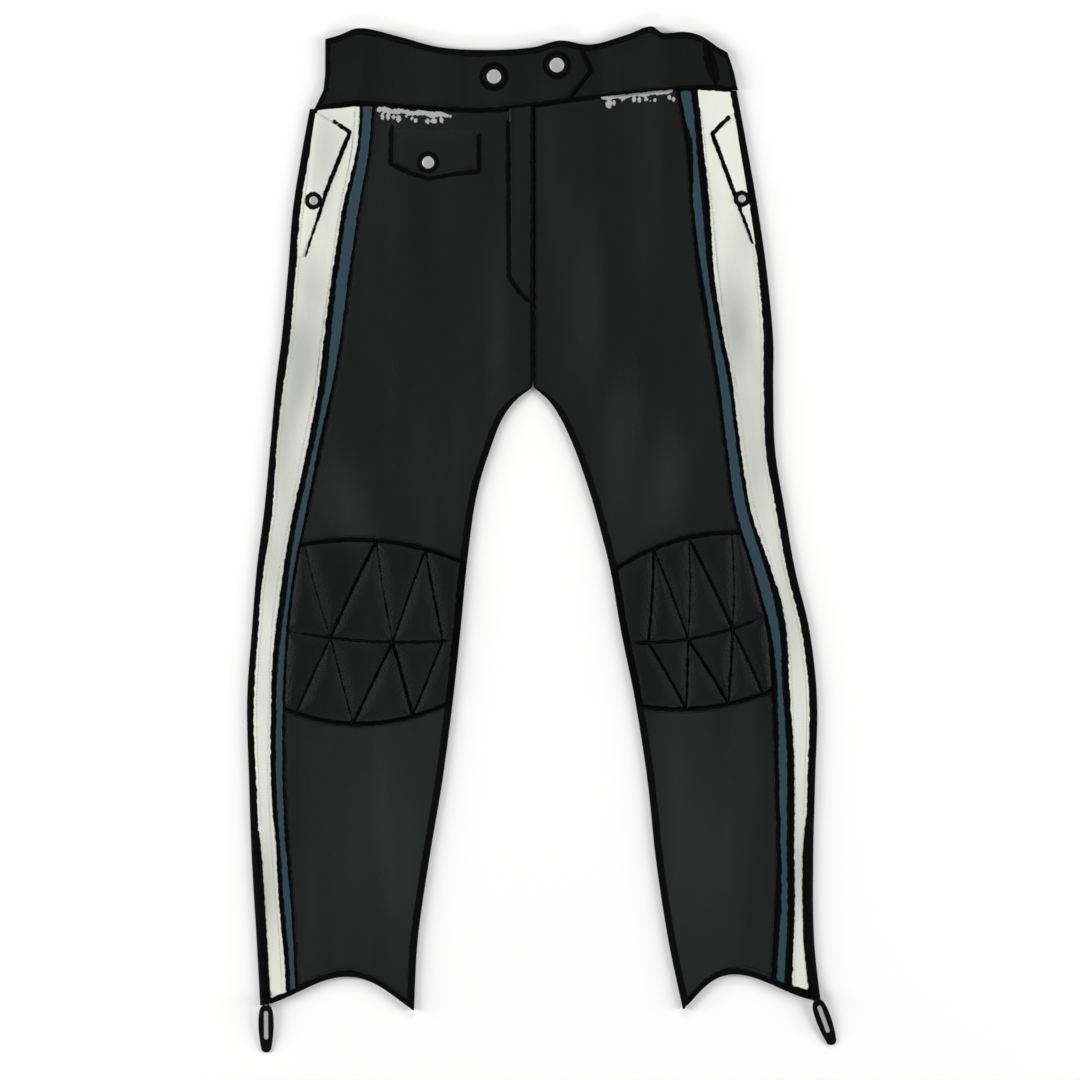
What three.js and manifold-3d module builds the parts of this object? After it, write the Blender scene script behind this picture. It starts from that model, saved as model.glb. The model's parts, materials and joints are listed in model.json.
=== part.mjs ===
// Biker trousers laid flat on a surface: black leather front and back panels, an off-white side
// strip and a narrow blue strip down each leg, padded knees quilted in triangles, a shaped
// waistband with a pointed tab, a buttoned fly placket, a coin flap, two side pocket flaps, and
// ankle zips whose pull tabs lie past the hem.
//
// Millimetres. X runs across the trousers from the centre seam, Y from the hem up to the waist,
// and Z up from the surface they lie on. "right" is the wearer's right leg, which has negative X.

import * as THREE from "three";
import Module from "manifold-3d";

const wasm = await Module();
wasm.setup();

// ---- cloth and seams
const WALL = 2.2; // leather with its lining
const SEAM = 0.3; // gap between two pieces that are sewn together
const FOLD_RADIUS = 4.1; // side folds and inseams turn round at this radius
const SETTLED = -1.0; // how far the front has sunk on to the back away from its edges
const FLAP_WALL = 1.6;
const PLACKET_WALL = 1.4;

// ---- length sizes, up from the hem corners
const CROTCH = 649;
const CROTCH_TURN = 12; // the centre seam dips to the inseam over this length
const HEM_ARCH = 33; // the hem is cut up this far over the instep
const HEM_ARCH_POWER = 1.2;
const BACK_HEM_LIFT = 1.5;
const ZIP_WIDTH = 10;
const ZIP_END_WIDTH = 8.1;
const ZIP_TAPER = 40;

// ---- waistband
const BAND_WALL = 3.0;
const BAND_RADIUS = 4.8;
const UNDERLAP_END = -55; // hidden end of the left band, under the tab
const BAND_LIES_TO = 66; // the left band lies on the back band up to here
const BAND_RISES_TO = 94; // and from here on it stands at full height

// Side lines of each leg: distances from the centre line at heights y.
// outer = side fold, white = white to blue seam, blue = blue to black seam.
const SIDE_LINES = {
  right: [
    { y: 958, outer: 231, white: 180, blue: 167 },
    { y: 898, outer: 242, white: 184, blue: 172 },
    { y: 835, outer: 252, white: 197, blue: 183 },
    { y: 772, outer: 257, white: 206, blue: 192 },
    { y: 698, outer: 264, white: 217, blue: 202 },
    { y: 651, outer: 270, white: 223, blue: 210 },
    { y: 583, outer: 276, white: 236, blue: 224 },
    { y: 520, outer: 282, white: 248, blue: 237 },
    { y: 457, outer: 290, white: 260, blue: 250 },
    { y: 394, outer: 295, white: 268, blue: 258 },
    { y: 320, outer: 300, white: 271, blue: 262 },
    { y: 236, outer: 298, white: 272, blue: 262 },
    { y: 152, outer: 295, white: 267, blue: 257 },
    { y: 68, outer: 290, white: 260, blue: 251 },
    { y: -5, outer: 286, white: 256, blue: 247 },
  ],
  left: [
    { y: 963, outer: 213, white: 167, blue: 152 },
    { y: 898, outer: 225, white: 175, blue: 163 },
    { y: 835, outer: 236, white: 182, blue: 168 },
    { y: 772, outer: 245, white: 188, blue: 174 },
    { y: 698, outer: 252, white: 198, blue: 186 },
    { y: 651, outer: 252, white: 207, blue: 194 },
    { y: 583, outer: 254, white: 216, blue: 203 },
    { y: 520, outer: 264, white: 227, blue: 212 },
    { y: 457, outer: 275, white: 246, blue: 231 },
    { y: 394, outer: 290, white: 261, blue: 247 },
    { y: 320, outer: 298, white: 266, blue: 253 },
    { y: 236, outer: 296, white: 269, blue: 256 },
    { y: 152, outer: 294, white: 270, blue: 258 },
    { y: 68, outer: 295, white: 269, blue: 254 },
    { y: -5, outer: 303, white: 267, blue: 250 },
  ],
};

// Inseam of each leg: its distance from the centre line below the crotch.
const INSEAM = [
  { y: 649, right: 0, left: 0 },
  { y: 635, right: 18, left: 16 },
  { y: 614, right: 33, left: 30 },
  { y: 583, right: 45, left: 44 },
  { y: 552, right: 55, left: 55 },
  { y: 520, right: 62, left: 65 },
  { y: 457, right: 70, left: 81 },
  { y: 394, right: 76, left: 92 },
  { y: 320, right: 84, left: 107 },
  { y: 236, right: 95, left: 120 },
  { y: 152, right: 109, left: 129 },
  { y: 68, right: 121, left: 142 },
  { y: -8, right: 125, left: 158 },
];

// Waistband edges across the front: its top edge, and the seam that joins it to the panels.
const BAND_EDGES = [
  { x: -232, top: 1010, seam: 941 },
  { x: -205, top: 1017, seam: 944 },
  { x: -182, top: 1025, seam: 946 },
  { x: -140, top: 1016, seam: 943 },
  { x: -98, top: 1005, seam: 940 },
  { x: -45, top: 1002, seam: 939 },
  { x: 0, top: 1005, seam: 944 },
  { x: 28, top: 1012, seam: 948 },
  { x: 60, top: 1008, seam: 952 },
  { x: 98, top: 1018, seam: 956 },
  { x: 124, top: 1027, seam: 959 },
  { x: 136, top: 1020, seam: 960 },
  { x: 160, top: 1021, seam: 962 },
  { x: 178, top: 1016, seam: 963 },
  { x: 194, top: 1005, seam: 962 },
  { x: 215, top: 994, seam: 960 },
];

// Ends of the waistband and outline of the tab's point, v = 0 at the seam and 1 at the top edge.
const BAND_ENDS = [
  { v: 0, right: -229, tab: 37, side: 192, left: 215 },
  { v: 0.25, right: -220, tab: 49, side: 190, left: 213 },
  { v: 0.5, right: -218, tab: 61, side: 187, left: 211 },
  { v: 0.75, right: -218, tab: 55, side: 184, left: 208 },
  { v: 1, right: -218, tab: 46, side: 182, left: 204 },
];

// Hem: heights of its corners, and how far the top of its arch leans to the inseam.
const HEMS = {
  right: { outer: 0, inner: -5, lean: 1.25 },
  left: { outer: 5, inner: -4, lean: 1.35 },
};

// Knee seams: heights at the blue seam (outer) and the inseam (inner), and how far each bows.
// The phases place the quilting's corners along each seam, as shares of the panel's width.
const KNEES = {
  right: {
    top: { outer: 483, inner: 465, bow: 13, phase: 0.12 },
    middle: { outer: 393, inner: 383, bow: -6, phase: 0.27 },
    bottom: { outer: 312, inner: 317, bow: -19, phase: 0.11 },
  },
  left: {
    top: { outer: 496, inner: 457, bow: 11, phase: 0.06 },
    middle: { outer: 409, inner: 381, bow: -9, phase: 0.21 },
    bottom: { outer: 331, inner: 314, bow: -10, phase: 0.05 },
  },
};
const QUILT_PITCH = 0.305; // width of one triangle, as a share of the panel's width
const QUILT_STEPS = 4; // facets along a triangle's side
const QUILT_RISE = 4.5;
const QUILT_SHOULDER = 15; // distance from a stitched line to the padding's full height

// Soft folds of the fronts: a centre, a length along the fold, a width, its rise, and its lean
// from the vertical in degrees.
const FOLDS = [
  { x: -77, y: 775, length: 190, width: 34, rise: 1.0, lean: -3 },
  { x: -119, y: 640, length: 230, width: 40, rise: 0.8, lean: 4 },
  { x: -160, y: 650, length: 210, width: 30, rise: -1.4, lean: 5 },
  { x: -190, y: 530, length: 100, width: 36, rise: 1.0, lean: -12 },
  { x: -52, y: 690, length: 100, width: 24, rise: -1.5, lean: 38 },
  { x: -105, y: 560, length: 120, width: 26, rise: -1.3, lean: 14 },
  { x: 55, y: 745, length: 150, width: 30, rise: 1.0, lean: 3 },
  { x: 88, y: 604, length: 150, width: 32, rise: 1.0, lean: 6 },
  { x: 142, y: 545, length: 110, width: 36, rise: 1.0, lean: 10 },
  { x: 125, y: 790, length: 250, width: 36, rise: -1.4, lean: -4 },
  { x: 118, y: 620, length: 150, width: 26, rise: -1.4, lean: -2 },
  { x: 50, y: 690, length: 100, width: 24, rise: -1.5, lean: -36 },
  { x: -196, y: 190, length: 220, width: 28, rise: 0.9, lean: 3 },
  { x: -142, y: 165, length: 230, width: 40, rise: 1.0, lean: -6 },
  { x: -168, y: 200, length: 200, width: 24, rise: -1.4, lean: -2 },
  { x: 165, y: 240, length: 150, width: 30, rise: 0.8, lean: 6 },
  { x: 186, y: 130, length: 150, width: 42, rise: 1.0, lean: 8 },
  { x: 212, y: 200, length: 190, width: 26, rise: -1.4, lean: 4 },
  { x: -238, y: 694, length: 46, width: 30, rise: -1.0, lean: 70 },
  { x: 222, y: 738, length: 46, width: 34, rise: -1.0, lean: -72 },
];

// Flaps, as corner points on the front.
const COIN_FLAP = {
  left: -149,
  right: -57,
  top: 922,
  bottom: [
    { share: 0, y: 883 },
    { share: 0.2, y: 874 },
    { share: 0.43, y: 867 },
    { share: 0.7, y: 872 },
    { share: 1, y: 875 },
  ],
};
const SIDE_FLAPS = {
  right: { topOuter: [-229, 937], topInner: [-192, 915], tipInner: [-242, 785], tipOuter: [-247, 786] },
  left: { topOuter: [212, 931], topInner: [188, 913], tipInner: [230, 797], tipOuter: [234, 798] },
};
const PLACKET = { width: 25, edge: 0.3, tip: 737, corner: 765 };

// Press studs: x and y of the centre, the radius, and what each is set in.
const STUDS = [
  { name: "stud_band", x: -41, y: 974, radius: 11, on: "band" },
  { name: "stud_tab", x: 25, y: 986, radius: 11, on: "band" },
  { name: "stud_coin_flap", x: -110, y: 884, radius: 8.5, on: "flap" },
  { name: "stud_pocket_right", x: -230, y: 844, radius: 7, on: "flap" },
  { name: "stud_pocket_left", x: 219, y: 846, radius: 6.2, on: "flap" },
];

// Zip hardware at each ankle: the slider's foot, and the way its pull points past the hem.
const ZIP_HARDWARE = {
  right: { x: -280, y: 5, turn: 0 },
  left: { x: 296, y: 9.8, turn: 20 },
};

const SIDES = { right: -1, left: 1 };
const RIM_TURNS = [0, 30, 60, 90].map(THREE.MathUtils.degToRad);

// ---------------------------------------------------------------- small maths

const lerp = THREE.MathUtils.lerp;
const ease = (low, high, t) => THREE.MathUtils.smoothstep(t, low, high);

// A smooth curve through a table's column, its rows sorted by the key either way.
function through(table, key, column) {
  const rows = [...table].sort((a, b) => a[key] - b[key]);
  const slope = (i) => {
    const before = rows[Math.max(i - 1, 0)];
    const after = rows[Math.min(i + 1, rows.length - 1)];
    return (after[column] - before[column]) / (after[key] - before[key]);
  };
  return (at) => {
    let i = 0;
    while (i < rows.length - 2 && at > rows[i + 1][key]) i += 1;
    const low = rows[i];
    const high = rows[i + 1];
    const span = high[key] - low[key];
    const t = (at - low[key]) / span;
    if (t < 0 || t > 1) return lerp(low[column], high[column], t);
    const a = slope(i) * span;
    const b = slope(i + 1) * span;
    const rise = high[column] - low[column];
    return low[column] + t * (a + t * (3 * rise - 2 * a - b + t * (a + b - 2 * rise)));
  };
}

const side = {};
for (const name of Object.keys(SIDES)) {
  const inseam = through(INSEAM, "y", name);
  side[name] = {
    sign: SIDES[name],
    outer: through(SIDE_LINES[name], "y", "outer"),
    white: through(SIDE_LINES[name], "y", "white"),
    blue: through(SIDE_LINES[name], "y", "blue"),
    inner: (y) => Math.max(y < CROTCH ? inseam(y) : 0, SEAM / 2),
  };
}
const bandTop = through(BAND_EDGES, "x", "top");
const waistSeam = through(BAND_EDGES, "x", "seam");
const bandEnd = {};
for (const end of ["right", "tab", "side", "left"]) bandEnd[end] = through(BAND_ENDS, "v", end);

const slopeOf = (line, y, step = 2) => (line(y + step) - line(y - step)) / (2 * step);
const shares = (count) => Array.from({ length: count + 1 }, (_, i) => i / count);

// ---------------------------------------------------------------- the front's surface

function foldRise(x, y) {
  let rise = 0;
  for (const fold of FOLDS) {
    const lean = THREE.MathUtils.degToRad(fold.lean);
    const dx = x - fold.x;
    const dy = y - fold.y;
    const across = (dx * Math.cos(lean) - dy * Math.sin(lean)) / (fold.width / 2);
    const along = (dx * Math.sin(lean) + dy * Math.cos(lean)) / (fold.length / 2);
    rise += fold.rise * Math.exp(-across * across) * Math.exp(-along * along);
  }
  return THREE.MathUtils.clamp(rise, -1.8, 1.0);
}

const frontTop = (x, y) => 2 * FOLD_RADIUS + SETTLED + foldRise(x, y);

// One point of a leg's wall: where its outer face is, and which way that face looks.
// rim is "outer" or "inner" at a rounded edge, and turn is then 0 at the edge and 90 degrees
// where the wall lies flat. distance is from the centre line where the wall is flat.
function wallPoint(leg, layer, place, y) {
  const up = layer === "front" ? 1 : -1;
  const middle = FOLD_RADIUS + (up * SEAM) / 2;
  const reach = FOLD_RADIUS - SEAM / 2;
  if (!place.rim) {
    const x = leg.sign * place.distance(y);
    const z = layer === "front" ? frontTop(x, y) : 0;
    return { at: new THREE.Vector3(x, y, z), faces: new THREE.Vector3(0, 0, up) };
  }
  const line = place.rim === "outer" ? leg.outer : leg.inner;
  const outward = place.rim === "outer" ? leg.sign : -leg.sign;
  // Above the crotch the inner edge is the flat centre seam, so its rim fades out.
  const rounded = place.rim === "outer" ? 1 : 1 - ease(CROTCH, CROTCH + CROTCH_TURN, y);
  const slope = place.rim === "outer" ? slopeOf(line, y) : slopeOf(line, Math.min(y, CROTCH - 2)) * rounded;
  const normal = new THREE.Vector2(outward, -outward * leg.sign * slope).normalize();
  const inset = FOLD_RADIUS * (1 - Math.cos(place.turn));
  const x = leg.sign * line(y) - normal.x * inset;
  const flatY = y - normal.y * inset;
  const height = layer === "front" ? frontTop(x, flatY) - middle : reach;
  const flatZ = middle + up * height;
  const rimZ = middle + up * height * Math.sin(place.turn);
  const faces = new THREE.Vector3(
    normal.x * Math.cos(place.turn) * rounded,
    normal.y * Math.cos(place.turn) * rounded,
    up * lerp(1, Math.sin(place.turn), rounded),
  ).normalize();
  return { at: new THREE.Vector3(x, flatY, lerp(flatZ, rimZ, rounded)), faces };
}

const flat = (distance) => ({ distance });
const rim = (edge) => RIM_TURNS.map((turn) => ({ rim: edge, turn }));

// Flat places spread evenly between two distances, both of them functions of the height.
function spread(from, to, count) {
  return shares(count).map((share) => flat((y) => lerp(from(y), to(y), share)));
}

// ---------------------------------------------------------------- closed walls

// Turns a face list outwards and makes it a geometry.
function solidFrom(points, faces) {
  let volume = 0;
  const normal = new THREE.Vector3();
  for (let i = 0; i < faces.length; i += 3) {
    const [a, b, c] = [points[faces[i]], points[faces[i + 1]], points[faces[i + 2]]];
    volume += normal.crossVectors(a, b).dot(c);
  }
  const index = [...faces];
  if (volume < 0) index.reverse();
  const geometry = new THREE.BufferGeometry().setFromPoints(points);
  geometry.setIndex(index);
  geometry.computeVertexNormals();
  return geometry;
}

// A wall between two grids of points with the same rows and columns.
function closedWall(outer, inner) {
  const rows = outer.length;
  const columns = outer[0].length;
  const points = [...outer.flat(), ...inner.flat()];
  const faces = [];
  const at = (layer, i, j) => (layer * rows + i) * columns + j;
  const quad = (a, b, c, d) => faces.push(a, b, c, a, c, d);
  for (let i = 0; i < rows - 1; i += 1) {
    for (let j = 0; j < columns - 1; j += 1) {
      quad(at(0, i, j), at(0, i, j + 1), at(0, i + 1, j + 1), at(0, i + 1, j));
      quad(at(1, i, j), at(1, i + 1, j), at(1, i + 1, j + 1), at(1, i, j + 1));
    }
    quad(at(0, i, 0), at(0, i + 1, 0), at(1, i + 1, 0), at(1, i, 0));
    const end = columns - 1;
    quad(at(1, i, end), at(1, i + 1, end), at(0, i + 1, end), at(0, i, end));
  }
  for (let j = 0; j < columns - 1; j += 1) {
    quad(at(1, 0, j), at(1, 0, j + 1), at(0, 0, j + 1), at(0, 0, j));
    const end = rows - 1;
    quad(at(0, end, j), at(0, end, j + 1), at(1, end, j + 1), at(1, end, j));
  }
  return solidFrom(points, faces);
}

const offsetIn = (point, wall) => point.at.clone().addScaledVector(point.faces, -wall);

function distanceOf(leg, place, y) {
  if (!place.rim) return place.distance(y);
  const inset = FOLD_RADIUS * (1 - Math.cos(place.turn));
  return place.rim === "outer" ? leg.outer(y) - inset : leg.inner(y) + inset;
}

// The height at which a place of a leg meets a row. A row lies the share v of the way between
// the crossing seams low and high.
function heightOf(leg, place, row) {
  let y = CROTCH / 2;
  for (let i = 0; i < 8; i += 1) {
    const distance = distanceOf(leg, place, y);
    y = lerp(row.low(distance, y), row.high(distance, y), row.v);
  }
  return y;
}

const rowsBetween = (low, high, list) => list.map((v) => ({ v, low, high }));

function wallThrough(points, wall) {
  return closedWall(
    points.map((row) => row.map((point) => point.at)),
    points.map((row) => row.map((point) => offsetIn(point, wall))),
  );
}

// A panel of a leg: its places across and its rows up.
function legPanel(legName, layer, places, rows) {
  const leg = side[legName];
  const points = rows.map((row) =>
    places.map((place) => wallPoint(leg, layer, place, heightOf(leg, place, row))),
  );
  return wallThrough(points, WALL);
}

// ---------------------------------------------------------------- crossing seams

// Each is a function of the distance from the centre line and the height it is read at.
const hemOf = (legName, lift = 0) => {
  const leg = side[legName];
  const hem = HEMS[legName];
  return (distance, y) => {
    const width = leg.outer(y) - leg.inner(y);
    const share = THREE.MathUtils.clamp((leg.outer(y) - distance) / width, 0, 1);
    const arch = HEM_ARCH * Math.sin(Math.PI * share ** hem.lean) ** HEM_ARCH_POWER;
    return lerp(hem.outer, hem.inner, share) + arch + lift;
  };
};

const waistOf = (legName) => (distance) => waistSeam(side[legName].sign * distance) - SEAM / 2;

const bowed = (seam, share) => lerp(seam.outer, seam.inner, share) + seam.bow * 4 * share * (1 - share);

// The flat part of a black front panel runs between these two distances.
const blackFrom = (leg) => (y) => leg.blue(y) - SEAM / 2;
const blackTo = (leg) => (y) => leg.inner(y) + FOLD_RADIUS;

const kneeOf = (legName, seam, gap = 0) => {
  const from = blackFrom(side[legName]);
  const to = blackTo(side[legName]);
  return (distance, y) => {
    const share = (from(y) - distance) / (from(y) - to(y));
    return bowed(KNEES[legName][seam], THREE.MathUtils.clamp(share, 0, 1)) + gap;
  };
};

// Rows of the upper leg crowd towards the crotch, and two of them lie at its ends.
function upperShares(legName) {
  const low = KNEES[legName].top.inner;
  const tall = waistSeam(0) - low;
  const crotch = (CROTCH - low) / tall;
  const turned = (CROTCH + CROTCH_TURN - low) / tall;
  return [
    ...shares(8).map((v) => crotch * (1 - (1 - v) ** 1.6)),
    ...shares(9).map((v) => lerp(turned, 1, v)),
  ];
}

const LOWER_ROWS = 12;
const ZIP_ROWS = 7; // the zip ends at this row

// Pieces that run from hem to waist share these rows, so that their seams meet point to point.
function fullRows(legName, lift = 0) {
  const bottom = kneeOf(legName, "bottom");
  const middle = kneeOf(legName, "middle");
  const top = kneeOf(legName, "top");
  return [
    ...rowsBetween(hemOf(legName, lift), bottom, shares(LOWER_ROWS).slice(0, -1)),
    ...rowsBetween(bottom, middle, shares(QUILT_STEPS).slice(0, -1)),
    ...rowsBetween(middle, top, shares(QUILT_STEPS).slice(0, -1)),
    ...rowsBetween(top, waistOf(legName), upperShares(legName)),
  ];
}

// ---------------------------------------------------------------- leg panels

// Shares across the knee at which the quilting has its points along a seam.
function quiltShares(start) {
  const step = QUILT_PITCH / QUILT_STEPS;
  const first = Math.ceil((step * 0.4 - start) / step);
  const last = Math.floor((1 - step * 0.4 - start) / step);
  const count = Math.max(last - first + 1, 0);
  return Array.from({ length: count }, (_, i) => ({ j: first + i, share: start + (first + i) * step }));
}

function blackPlaces(legName, seam) {
  const from = blackFrom(side[legName]);
  const to = blackTo(side[legName]);
  const across = [0, ...quiltShares(KNEES[legName][seam].phase).map((point) => point.share)];
  return [...across.map((share) => flat((y) => lerp(from(y), to(y), share))), ...rim("inner").reverse()];
}

function upperFront(legName) {
  const rows = rowsBetween(kneeOf(legName, "top", SEAM / 2), waistOf(legName), upperShares(legName));
  return legPanel(legName, "front", blackPlaces(legName, "top"), rows);
}

function lowerFront(legName) {
  const rows = rowsBetween(hemOf(legName), kneeOf(legName, "bottom", -SEAM / 2), shares(LOWER_ROWS));
  return legPanel(legName, "front", blackPlaces(legName, "bottom"), rows);
}

function backPanel(legName) {
  const leg = side[legName];
  const across = spread((y) => leg.outer(y) - FOLD_RADIUS, (y) => leg.inner(y) + FOLD_RADIUS, 9);
  const places = [...rim("outer"), ...across.slice(1, -1), ...rim("inner").reverse()];
  const kneeTop = LOWER_ROWS + 2 * QUILT_STEPS;
  const rows = fullRows(legName, BACK_HEM_LIFT).filter((_, i) => i > kneeTop || i % 2 === 0);
  return legPanel(legName, "back", places, rows);
}

const zipTop = (legName) => KNEES[legName].bottom.outer * (ZIP_ROWS / LOWER_ROWS);
const zipWidth = (legName, y) => {
  const top = zipTop(legName);
  return lerp(ZIP_WIDTH, ZIP_END_WIDTH, ease(top - ZIP_TAPER, top, y));
};

// The white strip takes the side fold, and up to the zip's top end it stops beside the tape.
function whiteStrip(legName) {
  const leg = side[legName];
  const beside = (step) => flat((y) => leg.outer(y) - zipWidth(legName, y) - SEAM - step);
  const across = (from) => spread(from, (y) => leg.white(y) + SEAM / 2, 3).slice(1);
  const aboveZip = [...rim("outer"), ...across((y) => leg.outer(y) - FOLD_RADIUS)];
  const besideZip = [0, 1, 2, 3].map(beside);
  besideZip.push(...across(besideZip[3].distance));
  const rows = fullRows(legName);
  const pointsOf = (row, places, lift = 0) =>
    places.map((place) => wallPoint(leg, "front", place, heightOf(leg, place, row) + lift));
  return wallThrough(
    [
      ...rows.slice(0, ZIP_ROWS + 1).map((row) => pointsOf(row, besideZip)),
      pointsOf(rows[ZIP_ROWS], aboveZip, 3),
      ...rows.slice(ZIP_ROWS + 1).map((row) => pointsOf(row, aboveZip)),
    ],
    WALL,
  );
}

function blueStrip(legName) {
  const leg = side[legName];
  const places = spread((y) => leg.white(y) - SEAM / 2, (y) => leg.blue(y) + SEAM / 2, 1);
  return legPanel(legName, "front", places, fullRows(legName));
}

function zipTape(legName) {
  const leg = side[legName];
  const places = [...rim("outer"), flat((y) => leg.outer(y) - zipWidth(legName, y))];
  return legPanel(legName, "front", places, fullRows(legName).slice(0, ZIP_ROWS + 1));
}

// ---------------------------------------------------------------- quilted knees

// Height of the padding: nil on each stitched line, full a shoulder's width away.
function quiltRise(width, share, seamLow, seamHigh, t) {
  const tall = bowed(seamHigh, share) - bowed(seamLow, share);
  const shift = seamHigh.phase - seamLow.phase;
  const toLine = (steps) => Math.abs(steps - Math.round(steps)) * QUILT_PITCH * width;
  const rightward = toLine((share - seamLow.phase - shift * t) / QUILT_PITCH);
  const leftward = toLine((share - seamLow.phase + (QUILT_PITCH - shift) * t) / QUILT_PITCH);
  const gap = Math.min(
    rightward * (tall / Math.hypot(tall, shift * width)),
    leftward * (tall / Math.hypot(tall, (QUILT_PITCH - shift) * width)),
    t * tall,
    (1 - t) * tall,
    share * width,
    (1 - share) * width + FOLD_RADIUS / 2,
  );
  const near = 1 - Math.min(gap / QUILT_SHOULDER, 1);
  return QUILT_RISE * Math.sqrt(1 - near * near);
}

// Joins two rows of points of unlike length, walking both from one end to the other.
function joinRows(low, high, faces) {
  let a = 0;
  let b = 0;
  while (a < low.length - 1 || b < high.length - 1) {
    const nextLow = a < low.length - 1 ? low[a + 1].order : Infinity;
    const nextHigh = b < high.length - 1 ? high[b + 1].order : Infinity;
    if (nextLow <= nextHigh) {
      faces.push([low[a], low[a + 1], high[b]]);
      a += 1;
    } else {
      faces.push([low[a], high[b + 1], high[b]]);
      b += 1;
    }
  }
}

// The knee panel's facets follow its stitched lines, so that each line is a crease.
function quiltedKnee(legName) {
  const leg = side[legName];
  const knee = KNEES[legName];
  const from = blackFrom(leg);
  const to = blackTo(leg);
  const tiers = [[knee.bottom, knee.middle], [knee.middle, knee.top]];
  const rows = [];
  tiers.forEach(([low, high], tier) => {
    for (let i = tier; i <= QUILT_STEPS; i += 1) {
      const t = i / QUILT_STEPS;
      const row = [{ share: 0, order: -1e6 + i / 2 }];
      for (const { j, share } of quiltShares(lerp(low.phase, high.phase, t))) {
        row.push({ share, order: j + i / 2 });
      }
      rim("inner").reverse().forEach((place, k) => row.push({ share: 1, place, order: 1e6 + k + i / 2 }));
      const gap = (1 - 2 * t) * (tier === 0 && i === 0 ? SEAM / 2 : tier === 1 && t === 1 ? SEAM / 2 : 0);
      for (const point of row) {
        const { share } = point;
        const y = lerp(bowed(low, share), bowed(high, share), t) + gap;
        const place = point.place ?? flat((h) => lerp(from(h), to(h), share));
        const wall = wallPoint(leg, "front", place, y);
        const rise = quiltRise(from(y) - to(y), share, low, high, t);
        // Round the inseam the padding thins out with the wall's turn.
        point.outer = wall.at.clone().setZ(wall.at.z + rise * wall.faces.z ** 2);
        point.inner = offsetIn(wall, WALL);
      }
      rows.push(row);
    }
  });
  const all = rows.flat();
  all.forEach((point, i) => (point.index = i));
  const triangles = [];
  for (let i = 0; i < rows.length - 1; i += 1) {
    // The order of the lower tier's last row carries on from its own tier.
    const carried = i === QUILT_STEPS ? QUILT_STEPS / 2 : 0;
    const low = rows[i].map((point) => ({ ...point, order: point.order - carried }));
    joinRows(low, rows[i + 1], triangles);
  }
  const faces = [];
  const under = all.length;
  for (const [a, b, c] of triangles) {
    faces.push(a.index, b.index, c.index, c.index + under, b.index + under, a.index + under);
  }
  const loop = [
    ...rows[0],
    ...rows.slice(1).map((row) => row.at(-1)),
    ...rows.at(-1).slice(0, -1).reverse(),
    ...rows.slice(1, -1).reverse().map((row) => row[0]),
  ];
  loop.forEach((point, i) => {
    const a = point.index;
    const b = loop[(i + 1) % loop.length].index;
    faces.push(a + under, b + under, b, a + under, b, a);
  });
  return solidFrom([...all.map((p) => p.outer), ...all.map((p) => p.inner)], faces);
}

// ---------------------------------------------------------------- waistband

// A band point at x and share v of the band's height, its outer face at z.
const bandHeight = (x, v) => lerp(waistSeam(x) + SEAM / 2, bandTop(x), v);

const bandWall = (pointsOf) => wallThrough(BAND_ENDS.map((row) => pointsOf(row.v)), BAND_WALL);

// A point of the band's rounded end: turn is -90 degrees underneath, 0 at the edge, 90 on top.
function bandRim(end, outward, turn, v) {
  const x = end - outward * BAND_RADIUS * (1 - Math.cos(turn));
  const z = BAND_RADIUS * (1 + Math.sin(turn));
  return {
    at: new THREE.Vector3(x, bandHeight(x, v), z),
    faces: new THREE.Vector3(outward * Math.cos(turn), 0, Math.sin(turn)),
  };
}

function bandFlat(x, v, z, up = 1) {
  return { at: new THREE.Vector3(x, bandHeight(x, v), z), faces: new THREE.Vector3(0, 0, up) };
}

const SEAM_TURN = SEAM / 2 / BAND_RADIUS;

function bandFrontRight() {
  const turns = [SEAM_TURN, ...RIM_TURNS.slice(1)];
  return bandWall((v) => {
    const end = bandEnd.right(v);
    const round = turns.map((turn) => bandRim(end, -1, turn, v));
    const start = end + BAND_RADIUS;
    const along = shares(22).slice(1).map((share) => lerp(start, bandEnd.tab(v), share));
    return [...round, ...along.map((x) => bandFlat(x, v, 2 * BAND_RADIUS))];
  });
}

function bandFrontLeft() {
  const low = BAND_WALL + SEAM + BAND_WALL;
  return bandWall((v) =>
    shares(22).map((share) => {
      const x = lerp(UNDERLAP_END, bandEnd.side(v) - SEAM, share);
      const z = lerp(low, 2 * BAND_RADIUS, ease(BAND_LIES_TO, BAND_RISES_TO, x));
      return bandFlat(x, v, z);
    }),
  );
}

function bandBack() {
  const under = [-SEAM_TURN, ...RIM_TURNS.slice(1).map((turn) => -turn)];
  const round = [...RIM_TURNS.slice(1).reverse().map((turn) => -turn), ...RIM_TURNS];
  return bandWall((v) => {
    const start = bandEnd.right(v);
    const end = bandEnd.left(v);
    const across = shares(18).slice(1, -1);
    return [
      ...under.map((turn) => bandRim(start, -1, turn, v)),
      ...across.map((share) => bandFlat(lerp(start + BAND_RADIUS, end - BAND_RADIUS, share), v, 0, -1)),
      ...round.map((turn) => bandRim(end, 1, turn, v)),
      bandFlat(bandEnd.side(v), v, 2 * BAND_RADIUS),
    ];
  });
}

// ---------------------------------------------------------------- pieces that lie on the front

// plan gives the x and y of the share across and the share up.
function laidPiece(acrossShares, upShares, plan, wall) {
  const grid = (lift) =>
    upShares.map((v) =>
      acrossShares.map((share) => {
        const [x, y] = plan(share, v);
        return new THREE.Vector3(x, y, frontTop(x, y) + lift);
      }),
    );
  return closedWall(grid(SEAM + wall), grid(SEAM));
}

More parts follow.
